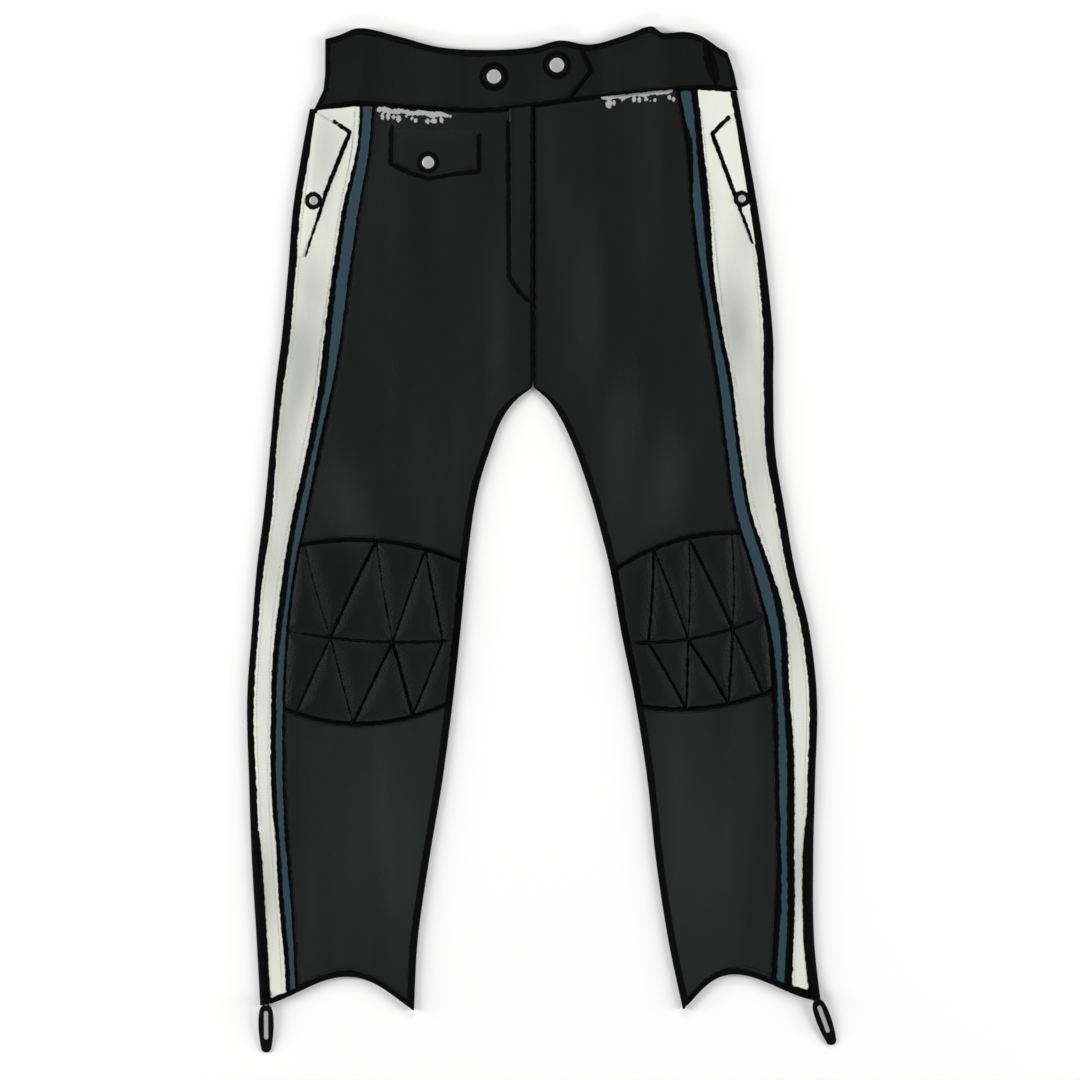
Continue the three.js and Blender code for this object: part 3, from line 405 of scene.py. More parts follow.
def closed_wall(name, outer, inner, material, **marks):
    """A closed mesh between two grids of points in millimetres, with a float attribute per mark."""
    rows, columns = outer.shape[:2]
    count = rows * columns
    grid = np.arange(count).reshape(rows, columns)
    a, b, c, d = grid[:-1, :-1], grid[:-1, 1:], grid[1:, 1:], grid[1:, :-1]
    loop = np.concatenate([grid[0, :], grid[1:, -1], grid[-1, -2::-1], grid[-2:0:-1, 0]])
    ahead = np.roll(loop, -1)
    faces = np.concatenate(
        [
            np.stack([a, b, c, d], -1).reshape(-1, 4),
            np.stack([a, d, c, b], -1).reshape(-1, 4) + count,
            np.stack([loop, loop + count, ahead + count, ahead], -1),
        ]
    )
    points = (np.concatenate([outer.reshape(-1, 3), inner.reshape(-1, 3)]) - origin) / 1000
    corner = points[faces]
    halves = [np.cross(corner[:, i], corner[:, i + 1]) for i in (1, 2)]
    if sum(np.einsum("ij,ij->i", corner[:, 0], half).sum() for half in halves) < 0:
        faces = faces[:, ::-1]
    mesh = bpy.data.meshes.new(name)
    mesh.from_pydata(points.tolist(), [], faces.tolist())
    mesh.polygons.foreach_set("use_smooth", np.ones(len(mesh.polygons), bool))
    mesh.set_sharp_from_angle(angle=math.radians(55))
    for mark, values in marks.items():
        attribute = mesh.attributes.new(mark, "FLOAT", "POINT")
        both = np.concatenate([values.ravel(), values.ravel()]).astype(np.float32)
        attribute.data.foreach_set("value", both)
    mesh.materials.append(material)
    return add_object(name, mesh)


def patches(table, x, y):
    """A soft mark from 0 to 1 where a table places painted sheen on the leather."""
    return np.clip(rises(table, x, y), 0, 1)


def lay(piece, node):
    """Rides the piece on the trousers and hides the solid that it replaces."""
    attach(piece, "trousers")
    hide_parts(node)


def leather(name, dyed, painted_light, seam, shine, grain=1.0):
    """Drum-dyed cowhide with a thin satin finish: a pebbled grain that catches light softly. A mark set per
    point moves its colour towards a second tone: on black hide that tone is a painted sheen, on white hide a
    painted shade. Its seams and cut edges hold a matt black edge dye, brushed on by hand; in the seams, round
    sewn-on pieces and round studs the same dark is painted shade. Grain is about 2.4 mm, drawn coarser than
    the real 0.8 mm so that it shows from two steps away."""
    material, tree = new_material(name)
    spot = add_node(tree, "ShaderNodeTexCoord").outputs["Object"]
    pebble = add_node(
        tree, "ShaderNodeTexVoronoi", {"Vector": spot}, {"Scale": 420.0, "Randomness": 0.9}, feature="F1"
    )
    wrinkle = add_node(
        tree, "ShaderNodeTexNoise", {"Vector": spot}, {"Scale": 60.0, "Detail": 4.0, "Distortion": 0.8}
    )
    # The mottling, a random shift of tone, is drawn out along the length, the way the painted sheen streaks
    # run.
    drawn_out = add_node(tree, "ShaderNodeMapping", {"Vector": spot}, {"Scale": (1.8, 0.3, 1.0)})
    mottle = add_node(
        tree, "ShaderNodeTexNoise", {"Vector": drawn_out.outputs[0]}, {"Scale": 11.0, "Detail": 5.0}
    )
    relief = add_node(
        tree, "ShaderNodeMath", {0: wrinkle.outputs["Fac"], 1: pebble.outputs["Distance"]}, operation="ADD"
    )
    bump = add_node(
        tree, "ShaderNodeBump", {"Height": relief.outputs[0]}, {"Strength": 0.5, "Distance": 0.0006 * grain}
    )
    # Painted light: the per-point mark moves the colour to the second tone, a painted sheen on black hide and
    # a painted shade on white hide.
    wear = add_node(tree, "ShaderNodeAttribute", attribute_name="wear")
    mottling = {"From Min": 0.3, "From Max": 0.7, "To Min": -0.12, "To Max": 0.12}
    cloud = add_node(tree, "ShaderNodeMapRange", {"Value": mottle.outputs["Fac"]}, mottling)
    tone_mark = add_node(
        tree, "ShaderNodeMath", {0: wear.outputs["Fac"], 1: cloud.outputs[0]}, operation="ADD", use_clamp=True
    )
    hides = {6: linear(dyed), 7: linear(painted_light)}
    tone = add_node(tree, "ShaderNodeMix", {0: tone_mark.outputs[0]}, hides, data_type="RGBA")
    # The edge mark gives a matt near-black: real edge dye on cut edges, and painted shade in the seams, round
    # sewn-on pieces and round studs.
    edge = add_node(tree, "ShaderNodeAttribute", attribute_name="edge")
    brush = add_node(tree, "ShaderNodeTexNoise", {"Vector": spot}, {"Scale": 170.0, "Detail": 3.0})
    # Noise of about a half makes the edge of the dye and painted shade ragged: it lies where the mark is
    # dye_and_shade_reach.
    spread = {0: brush.outputs["Fac"], 2: edge.outputs["Fac"]}
    stroke = add_node(tree, "ShaderNodeMath", spread, {1: 3.2}, operation="MULTIPLY_ADD")
    dye_and_shade = add_node(
        tree,
        "ShaderNodeMapRange",
        {"Value": stroke.outputs[0]},
        {"From Min": 3.1, "From Max": 4.0, "To Min": 1.0, "To Max": 0.0},
        interpolation_type="SMOOTHSTEP",
    )
    layers = {0: dye_and_shade.outputs[0], 6: tone.outputs[2]}
    dark = add_node(tree, "ShaderNodeMix", layers, {7: linear(seam)}, data_type="RGBA")
    bare = add_node(tree, "ShaderNodeAttribute", attribute_name="bare")
    speck = add_node(tree, "ShaderNodeTexNoise", {"Vector": spot}, {"Scale": 420.0, "Detail": 3.0})
    spread = {0: speck.outputs["Fac"], 2: bare.outputs["Fac"]}
    ragged = add_node(tree, "ShaderNodeMath", spread, {1: 3.0}, operation="MULTIPLY_ADD")
    pale_mask = add_node(
        tree,
        "ShaderNodeMapRange",
        {"Value": ragged.outputs[0]},
        {"From Min": 2.5, "From Max": 2.75},
        interpolation_type="SMOOTHSTEP",
    )
    layers = {0: pale_mask.outputs[0], 6: dark.outputs[2]}
    pale = add_node(tree, "ShaderNodeMix", layers, {7: linear("#a6a6a5")}, data_type="RGBA")
    roughness = {**mottling, "To Min": 0.42, "To Max": 0.54}
    satin = add_node(tree, "ShaderNodeMapRange", {"Value": mottle.outputs["Fac"]}, roughness)
    matt = add_node(tree, "ShaderNodeMath", {0: satin.outputs[0], 1: dye_and_shade.outputs[0]}, operation="MAXIMUM")
    skin = add_node(
        tree,
        "ShaderNodeBsdfPrincipled",
        {"Base Color": pale.outputs[2], "Roughness": matt.outputs[0], "Normal": bump.outputs[0]},
        {"Specular IOR Level": shine},
    )
    add_node(tree, "ShaderNodeOutputMaterial", {"Surface": skin.outputs[0]})
    return material


# The black hide's second tone, a lighter grey, is a painted sheen.
black_leather = leather("black_cowhide", "#171818", "#2c2f2f", "#010101", 0.14)

hidden_folds = {
    "x": [-200, -120, -60, -170, -230, 70, 150, 190, 130, 200],
    "y": [420, 620, 760, 200, 330, 700, 560, 380, 180, 250],
    "length": [90, 160, 120, 120, 60, 130, 140, 90, 120, 70],
    "width": [26, 30, 24, 22, 20, 26, 30, 22, 24, 20],
    "rise": [1.0, 0.8, 0.9, 0.8, 1.0, 0.9, 0.8, 1.0, 0.9, 0.8],
    "lean": [70, 20, 40, 10, 84, -30, -20, -76, 8, -80],
    "bow": [8, 6, 5, 4, 6, 6, 6, 8, 5, 6],
}
stitch_rows = {"black": [], "pale": []}  # lines of stitches, gathered piece by piece

for name, leg in legs.items():
    start = lambda y, leg=leg: leg["outer"](y) - fold_radius
    end = lambda y, leg=leg: leg["inner"](y) + fold_radius
    columns = (
        rim_columns("outer", -seam_turn, -math.pi / 2, 10)
        + columns_between(start, end, 44, False, False)[1:-1]
        + rim_columns("inner", -math.pi / 2, -seam_turn, 9)
    )
    hem, waist = hem_of(name, 1.0), waist_of(name)
    seams = {"low": True, "high": True}
    outer, inner, faces, edge = leg_grid(name, "back", columns, crowded_rows(6.0, 950), hem, waist, seams)
    lifted = rises(hidden_folds, outer[..., 0], outer[..., 1]) * (faces[..., 2] < -0.99)
    outer[..., 2] += lifted
    piece = closed_wall("back_panel_" + name, outer, inner, black_leather, edge=edge + 1.2)
    lay(piece, "back_" + name)

# ---------------------------------------------------------------- black fronts
# Upper front and shin panels of the same black hide, lapped over the back at the inseam and sewn to the knees
# and the blue strips. Soft lighter streaks on them are a painted sheen, and under the waistband lie pale grey
# marks.
knee_seams = {
    "right": {
        "top": {"outer": 483, "inner": 465, "bow": 13},
        "middle": {"outer": 393, "inner": 383, "bow": -6},
        "bottom": {"outer": 312, "inner": 317, "bow": -19},
    },
    "left": {
        "top": {"outer": 496, "inner": 457, "bow": 11},
        "middle": {"outer": 409, "inner": 381, "bow": -9},
        "bottom": {"outer": 331, "inner": 314, "bow": -10},
    },
}
# Painted sheen: soft lighter streaks put into the black hide's colour.
painted_sheen_streaks = {
    "x": [-129, -197, -35, 55, 91, 139, -134, -190, 181, 150, -75, 120, -160, 20],
    "y": [700, 525, 767, 740, 593, 546, 168, 190, 140, 240, 560, 830, 850, 840],
    "length": [330, 110, 220, 230, 150, 120, 280, 260, 240, 200, 160, 160, 140, 150],
    "width": [40, 44, 26, 38, 40, 48, 76, 40, 76, 50, 40, 50, 40, 30],
    "rise": [0.12, 0.6, 0.2, 0.3, 0.45, 0.65, 0.6, 0.25, 0.6, 0.3, 0.2, 0.12, 0.1, 0.1],
    "lean": [-4, -14, 0, 3, 6, 10, -6, 2, 8, 4, 10, -4, 6, 0],
    "bow": [0, 6, 0, 0, 4, -6, 0, 0, 0, 0, 4, 0, 0, 0],
}
pale_mark_lines = {
    "right": {"x": [-162, -133, -100, -86], "y": [939.6, 937, 934.6, 933], "half": [3.2, 2.4, 3.1, 1.4]},
    "left": {
        "x": [73, 84, 103, 131, 145],
        "y": [952.4, 952.8, 954.8, 957.6, 958.8],
        "half": [1.8, 2.8, 2.4, 2.6, 2.0],
    },
}
pale_mark_spots = {
    "x": [-158, -152, -146, -141, -133, -127, -123, -110.6, -104, -96,
          79.3, 85, 93.5, 105.7, 111.4, 118.6, 122.7, 128, 143, 147.3],
    "y": [932.7, 932.7, 931.9, 930, 932.7, 930.5, 928.1, 927.5, 927.8, 928.8,
          945.4, 946.4, 950.2, 950.6, 949.6, 950.6, 948.8, 949.6, 952.6, 950.7],
    "wide": [4, 5, 4.2, 5.4, 3, 3.6, 4.4, 5, 6.6, 4.4, 6.6, 4.4, 2.8, 4.4, 4, 4, 2.6, 4, 4.2, 3.4],
    "tall": [8, 9, 5.4, 8, 3, 4, 4.8, 5.6, 6, 7, 9.6, 5.6, 4, 7, 7, 5, 2.6, 4, 6, 5],
}


def tone_mark(x, y):
    """Where the pale grey marks under the waistband lie: 1 at the edge of a mark and more inside it, a line
    with drops below it. The leather's own shader makes the edge ragged."""
    mark = np.zeros(x.shape)
    for line in pale_mark_lines.values():
        middle = np.interp(x, line["x"], line["y"]) + 0.7 * np.sin(x * 0.31)
        half = np.interp(x, line["x"], line["half"]) * (1 + 0.25 * np.sin(x * 0.9) * np.sin(x * 0.37))
        past_end = np.maximum(line["x"][0] - x, x - line["x"][-1]).clip(0)
        mark = np.maximum(mark, 1 + half - np.abs(y - middle) - past_end)
    for mx, my, wide, tall in zip(*pale_mark_spots.values()):
        reach = np.hypot((x - mx) / (wide / 2), (y - my) / (tall / 2))
        mark = np.maximum(mark, 1 + (1 - reach) * min(wide, tall) / 2)
    return mark.clip(0)


def black_from(name):
    return lambda y: legs[name]["blue"](y) - half_gap


def black_to(name):
    return lambda y: legs[name]["inner"](y) + fold_radius


def bowed(seam, share):
    return lerp(seam["outer"], seam["inner"], share) + seam["bow"] * 4 * share * (1 - share)


def knee_of(name, seam, gap):
    start, end = black_from(name), black_to(name)

    def at(away, y):
        share = np.clip((start(y) - away) / (start(y) - end(y)), 0, 1)
        return bowed(knee_seams[name][seam], share) + gap

    return at


def to_lines(x, y, corners):
    """Distance from points to a line through a list of corners."""
    gap = np.full(np.shape(x), far)
    for (ax, ay), (bx, by) in zip(corners, corners[1:]):
        t = np.clip(((x - ax) * (bx - ax) + (y - ay) * (by - ay)) / ((bx - ax) ** 2 + (by - ay) ** 2), 0, 1)
        gap = np.minimum(gap, np.hypot(x - lerp(ax, bx, t), y - lerp(ay, by, t)))
    return gap


# Outlines of what is sewn on the fronts: edge dye on the pieces, and round them on the panel a painted shadow
# along their edges.
placket_line = [(-26.0, 926)] + [(-25 * (1 - s), 737 + 28 * (1 - s) ** 1.5) for s in np.linspace(0, 1, 8)]
coin_line = [(-148, 921), (-149, 883), (-130.6, 874), (-109.4, 867), (-84.6, 872), (-57, 875), (-57, 912)]
flap_lines = {
    "right": [(-208.5, 927), (-192, 916), (-216, 856), (-239, 785)],
    "left": [(205, 931), (188, 914.5), (230, 800)],
}
stud_shade_rings = {  # middle and radius of the painted shade ring round each press stud, the shadow of the dimple that it presses into the hide
    "x": [-41, 25, -110, -230, 219],
    "y": [974, 986, 884, 844, 846],
    "reach": [15.4, 15.0, 11.8, 9.2, 8.8],
}


# Distance to the painted shade ring round the nearest press stud, as an edge mark.
def to_studs(x, y):
    gap = np.full(np.shape(x), far)
    for mx, my, reach in zip(*stud_shade_rings.values()):
        gap = np.minimum(gap, np.hypot(x - mx, y - my) - reach + dye_and_shade_reach)
    return gap


def to_flap(name, x, y):
    """Distance to the dark line round a pocket flap: edge dye on the flap, and painted shadow on the strip
    beneath it. The line thins out towards the flap's tip.
    """
    return to_lines(x, y, flap_lines[name]) - 0.4 + 1.2 * (1 - smooth(788, 862, y))


def to_inner(name, x, y):
    """Edge dye along the inseam, 8 mm wide, and along both sides of the centre seam, 3 mm."""
    reach = lerp(6.0, 1.0, smooth(crotch - 20, crotch + 8, y))
    return np.abs(x) - legs[name]["inner"](y) - reach


def centre_seam(y):
    """The fly seam, which is sewn above the crotch only."""
    return np.where(y > crotch, half_gap, -50.0)


def stitch_line(thread, points, lift=0.12):
    """Keeps a line of stitches to be sewn, its points in millimetres on the leather's face."""
    line = np.array(points, float)
    line[:, 2] += lift
    stitch_rows[thread].append(line)


def front_line(thread, x, y, edge=4.0):
    """A line of stitches on the front's face."""
    x, y = np.asarray(x, float), np.asarray(y, float)
    stitch_line(thread, np.stack([x, y, lie(x, y) - seam_dip(edge + 0 * x)], -1))


for name, leg in legs.items():
    sign = leg["sign"]
    columns = (
        columns_between(black_from(name), black_to(name), 118, True, False)[:-1]
        + rim_columns("inner", math.pi / 2, seam_turn, 9)
    )
    seams = {"start": black_from(name), "end": centre_seam, "low": True, "high": True}
    rows = crowded_rows(3.0, 480)
    fine = [(1, -d) for d in np.arange(30, 6, -1.3)]
    rows = [r for r in rows if not (r[0] == 1 or r[1] < -5.0)] + fine + [(1, -d) for d in reversed(near)]
    low, high = knee_of(name, "top", half_gap), waist_of(name)
    outer, inner, faces, edge = leg_grid(name, "front", columns, rows, low, high, seams)
    x, y = outer[..., 0], outer[..., 1]
    inner[..., 2] -= rises(creases, x, y) * faces[..., 2]
    outer[..., 2] -= seam_dip(edge)
    # Dark mark: edge dye at the seams and the inseam, and painted shadow round the coin flap, the fly facing
    # and the studs.
    sewn_on = [to_lines(x, y, coin_line) - 0.9, to_lines(x, y, placket_line) - 0.9, to_studs(x, y)]
    dyed = np.minimum.reduce([edge - 0.8, to_inner(name, x, y)] + (sewn_on if name == "right" else []))
    # Painted sheen streaks lighten the hide's colour.
    marks = {"edge": dyed.clip(0), "wear": patches(painted_sheen_streaks, x, y), "bare": tone_mark(x, y)}
    piece = closed_wall("upper_front_" + name, outer, inner, black_leather, **marks)
    lay(piece, "front_upper_" + name)

    columns = (
        columns_between(black_from(name), black_to(name), 56, True, False)[:-1]
        + rim_columns("inner", math.pi / 2, seam_turn, 9)
    )
    seams = {"start": black_from(name), "low": True, "high": True}
    low, high = hem_of(name), knee_of(name, "bottom", -half_gap)
    outer, inner, faces, edge = leg_grid(name, "front", columns, crowded_rows(2.6, 320), low, high, seams)
    x, y = outer[..., 0], outer[..., 1]
    outer[..., 2] -= seam_dip(edge)
    hem_gap = y - hem_of(name)(np.abs(x), y)
    dyed = np.minimum.reduce([edge - 0.8, to_inner(name, x, y), hem_gap - 5.2])
    # A slightly lighter tone, with painted sheen streaks over it.
    marks = {"edge": dyed.clip(0), "wear": 0.14 + patches(painted_sheen_streaks, x, y)}
    piece = closed_wall("shin_front_" + name, outer, inner, black_leather, **marks)
    lay(piece, "front_lower_" + name)

    # Rows of topstitching: beside the blue strip, over and under the knee, and round the hem.
    for low_y, high_y in ((hems[name]["outer"] + 26, knee_seams[name]["bottom"]["outer"] - 4),
                          (knee_seams[name]["top"]["outer"] + 4, waist_seam(sign * 170) - 4)):
        y = np.arange(low_y, high_y, stitch_step)
        front_line("black", sign * (leg["blue"](y) - 4.15), y)
    share = np.linspace(0.03, 0.97, 60)
    for seam, gap in (("top", 4.1), ("bottom", -4.1)):
        y = bowed(knee_seams[name][seam], share) + gap
        front_line("black", sign * lerp(black_from(name)(y), black_to(name)(y), share), y)
    for low_y, high_y in ((hems[name]["inner"] + 14, knee_seams[name]["bottom"]["inner"] - 5),
                          (knee_seams[name]["top"]["inner"] + 5, 612)):
        y = np.arange(low_y, high_y, stitch_step)
        front_line("black", sign * (leg["inner"](y) + 7.5), y)
    away = np.linspace(float(leg["blue"](10)) - 3, float(leg["inner"](5)) + 5, 60)
    y = hem_of(name)(away, np.full(60, 5.0)) + 9
    front_line("black", sign * away, y, 9.0)

y = np.arange(crotch + 14, 936, stitch_step)
front_line("black", 4.15 + 0 * y, y)

# ---------------------------------------------------------------- side strips
# A wide strip of off-white hide takes the side fold, and a narrow slate-blue one is let in between it and the
# black. Both run from waist to hem. Both are dark along their seams, partly edge dye and partly painted
# shade, and the white one carries soft grey patches of painted shade.
# The white hide's second tone, a grey, is painted shade.
white_leather = leather("off_white_cowhide", "#e3e5da", "#8f9190", "#010101", 0.12, 0.8)
blue_leather = leather("slate_blue_cowhide", "#2e434e", "#3e5360", "#010101", 0.12)
# Painted shade: soft grey patches put into the white strips' colour; the one with a negative rise paints a
# lighter patch.
painted_shade_patches = {
    "x": [-245, -232, -262, -282, -276, -248, -271, 207, 211, 224, 236, 262, 270, 280, 226, -214, 281, 195],
    "y": [694, 760, 560, 115, 330, 640, 460, 725, 680, 620, 565, 470, 400, 210, 800, 900, 138, 925],
    "length": [90, 60, 160, 110, 110, 110, 100, 90, 110, 150, 170, 150, 140, 160, 70, 90, 84, 150],
    "width": [46, 40, 36, 26, 24, 30, 36, 36, 28, 26, 34, 34, 30, 22, 30, 40, 34, 70],
    "rise": [0.42, 0.24, 0.3, 0.38, 0.14, 0.3, 0.36, 0.36, 0.3, 0.22, 0.32, 0.17, 0.24, 0.08, 0.12, 0.26,
        0.32, -0.2],
    "lean": [12, -20, -6, 3, 4, 20, 4, -10, 6, 8, 6, 4, 4, 2, -18, 10, 3, 0],
    "bow": [6, 5, 4, 0, 0, 4, 3, 6, 4, 4, 4, 3, 0, 0, 4, 3, 0, 0],
}
# The edge dye was brushed on unevenly, and along the seams it also stands for painted shade. These are the
# widths by height of the dyed edge along each side fold, of the dark on the white strip's seam side, and of
# what runs onto the blue strip from its seams with the white and the black.
dye_and_shade_widths = {
    "y": [929, 906, 845, 761, 677, 593, 509, 425, 341, 257, 200, 173, 100, 40],
    "right": {
        "fold": [8.4, 8.4, 8.4, 8.4, 9.2, 6.8, 9.2, 6.8, 7.4, 7.4, 8.4, 8.4, 8.4, 8.4],
        "white": [0.6, 0.8, 3, 4, 2, 1.2, 3, 1.2, 4, 3, 2.4, 1.2, 3.4, 2],
        "white_side": [1.5, 1.2, 1, 1, 4.2, 4.4, 2, 4.4, 1, 1.5, 1.8, 2, 1, 2],
        "black_side": [0.3, 0.3, 0.2, 0.6, 0.2, 2, 0.6, 0.6, 0.2, 0.2, 1, 1.6, 0.2, 0.8],
    },
    "left": {
        "fold": [7.4, 8.2, 8.4, 9.2, 10.6, 10.2, 9.2, 9, 8.4, 8.4, 8.4, 8.4, 8.4, 8.4],
        "white": [5, 4, 4, 1.2, 3, 2, 1.2, 5.6, 3.2, 5.6, 4.6, 4, 5, 4],
        "white_side": [1, 2.2, 3.4, 3.8, 1, 1, 2, 1, 3, 1, 2.4, 3, 1.5, 3],
        "black_side": [1.5, 5, 0.3, 3, 2, 1, 1, 1, 4, 2, 1.7, 1.5, 4.4, 3.4],
    },
}
hem_dye = {"right": {"white": 4.4, "blue": 4.4}, "left": {"white": 8.0, "blue": 6.4}}
zip_width, zip_end_width, zip_taper = 10.0, 8.1, 40.0
zip_tops = {name: knee_seams[name]["bottom"]["outer"] * 7 / 12 for name in legs}


def zip_reach(name):
    top = zip_tops[name]
    return lambda y: lerp(zip_width, zip_end_width, smooth(top - zip_taper, top, y))


def dye_and_shade_width(name, side, y):
    return np.interp(y, dye_and_shade_widths["y"][::-1], dye_and_shade_widths[name][side][::-1])


for name, leg in legs.items():
    sign, top = leg["sign"], zip_tops[name]
    white_to = lambda y, leg=leg: leg["white"](y) + half_gap
    fold_end = lambda y, leg=leg: leg["outer"](y) - fold_radius
    beside = lambda y, leg=leg, reach=zip_reach(name): leg["outer"](y) - reach(y) - 2 * half_gap

    # The strip takes the side fold. Up to the zip's top end it stops beside the tape instead.
    columns = [
        {"edge": "outer", "turn": float(t), "beside": lambda y, k=k: beside(y) - 0.12 * k, "top": top}
        for k, t in enumerate(np.linspace(seam_turn, math.pi / 2, 9))
    ]
    past_zip = lambda y: lerp(beside(y) - 1.0, fold_end(y), smooth(top + zip_above, top + 24, y))
    for share in np.concatenate([np.linspace(0.02, 0.9, 34), 1 - np.array(near[::-1]) / 40]):
        columns.append({"at": lambda y, s=share: lerp(past_zip(y), white_to(y), s)})
    seams = {"end": white_to, "low": True, "high": True}
    rows = crowded_rows(3.0, 940)
    outer, inner, faces, edge = leg_grid(name, "front", columns, rows, hem_of(name), waist_of(name), seams)
    x, y = outer[..., 0], outer[..., 1]
    away = np.abs(x)
    zipped = y < top + zip_above
    rolled = np.where(zipped, beside(y) - away, far).clip(0)
    ridge = np.where(zipped, far, leg["outer"](y) - away - dye_and_shade_width(name, "fold", y))
    outer[..., 2] -= seam_dip(edge) + seam_dip(rolled) + 0.45 * bell(ridge, 0.9)
    # Dark mark: edge dye along the fold, the seam and the hem, painted shade along the seam, and painted
    # shadow round the pocket flap and the stud.
    dyed = np.minimum.reduce(
        [
            away - white_to(y) + dye_and_shade_reach - dye_and_shade_width(name, "white", y),
            np.where(zipped, rolled + 0.9, ridge + dye_and_shade_reach),
            y - hem_of(name)(away, y) - hem_dye[name]["white"],
            waist_of(name)(away, y) - y - 1.0,
            to_flap(name, x, y),
            to_studs(x, y),
        ]
    )
    # Painted shade: grey patches over a slight even greying.
    marks = {"edge": dyed.clip(-6), "wear": np.clip(0.13 + rises(painted_shade_patches, x, y), 0, 1)}
    piece = closed_wall("white_side_strip_" + name, outer, inner, white_leather, **marks)
    lay(piece, "white_strip_" + name)

    blue_from = lambda y, leg=leg: leg["white"](y) - half_gap
    blue_to = lambda y, leg=leg: leg["blue"](y) + half_gap
    shares = np.linspace(0, 1, 17)
    columns = [{"at": lambda y, s=s, a=blue_from, b=blue_to: lerp(a(y), b(y), s)} for s in shares]
    seams = {"start": blue_from, "end": blue_to, "low": True, "high": True}
    outer, inner, faces, edge = leg_grid(name, "front", columns, rows, hem_of(name), waist_of(name), seams)
    outer[..., 2] -= 1.3 * bell(edge, 1.2)
    y, away = outer[..., 1], np.abs(outer[..., 0])
    # Dark mark: edge dye and painted shade along both seams, and edge dye at the hem.
    dyed = np.minimum.reduce(
        [
            blue_from(y) - away + 0.9 - dye_and_shade_width(name, "white_side", y),
            away - blue_to(y) + 1.75 - dye_and_shade_width(name, "black_side", y),
            y - hem_of(name)(away, y) - hem_dye[name]["blue"],
            waist_of(name)(away, y) - y - 1.0,
        ]
    )
    piece = closed_wall("blue_side_strip_" + name, outer, inner, blue_leather, edge=dyed.clip(0))
    lay(piece, "blue_strip_" + name)

    y = np.arange(hems[name]["outer"] + 16, 938, stitch_step)
    front_line("pale", sign * (leg["white"](y) + 6.2), y, far)
    y = np.arange(top + 8, 934, stitch_step)
    front_line("pale", sign * (leg["outer"](y) - dye_and_shade_width(name, "fold", y) - 2.6), y, far)

# ---------------------------------------------------------------- quilted knees
# Black hide over foam, sewn down in two rows of triangles. The stitching pulls deep grooves, and
# the foam swells between them.
# The knee hide's second tone is a painted sheen, and the dark along the quilting lines is partly painted
# shade.
knee_leather = leather("quilted_black_cowhide", "#121313", "#262828", "#010101", 0.08)
quilting = {  # corners of the zigzags, as shares of the way from the blue strip to the inseam
    "right": {"top": [0.03, 0.46, 0.765], "middle": [0.26, 0.63, 0.925], "bottom": [0.08, 0.43, 0.79]},
    "left": {"top": [0.07, 0.40, 0.68], "middle": [0.25, 0.57, 0.85], "bottom": [0.08, 0.34, 0.66]},
}
faint = {  # how much narrower than 4 mm, on each side, the dark is along each line of quilting: dye, and painted shade in the groove
    "right": {"middle": 0.3, "bottom": [0.6, 1.1, 0.3, 0.2, 0.6], "top": [1.3, 0, 1.3, 0.7, 0.7]},
    "left": {"middle": 0.2, "bottom": [0.4, 0.4, 0, 0.7, 0.4], "top": [1.2, 0, 1.3, 0.8, 0.5]},
}


def quilt_lines(name):
    """The zigzags as pieces of line, their ends as a share across and a share of the rows up:
    0 at the bottom seam, 1 at the middle line and 2 at the top seam. Last, how faint each is."""
    corners = quilting[name]
    lines = [((0.0, 1.0), (1.0, 1.0), faint[name]["middle"])]
    for seam, level in (("bottom", 0.0), ("top", 2.0)):
        zigzag = [p for a, b in zip(corners[seam], corners["middle"]) for p in ((a, level), (b, 1.0))]
        lines += list(zip(zigzag, zigzag[1:], faint[name][seam]))
    return lines


def knee_height(name, share, level):
    seams = knee_seams[name]
    bottom, middle, top = (bowed(seams[s], share) for s in ("bottom", "middle", "top"))
    return np.where(level < 1, lerp(bottom, middle, level), lerp(middle, top, level - 1))


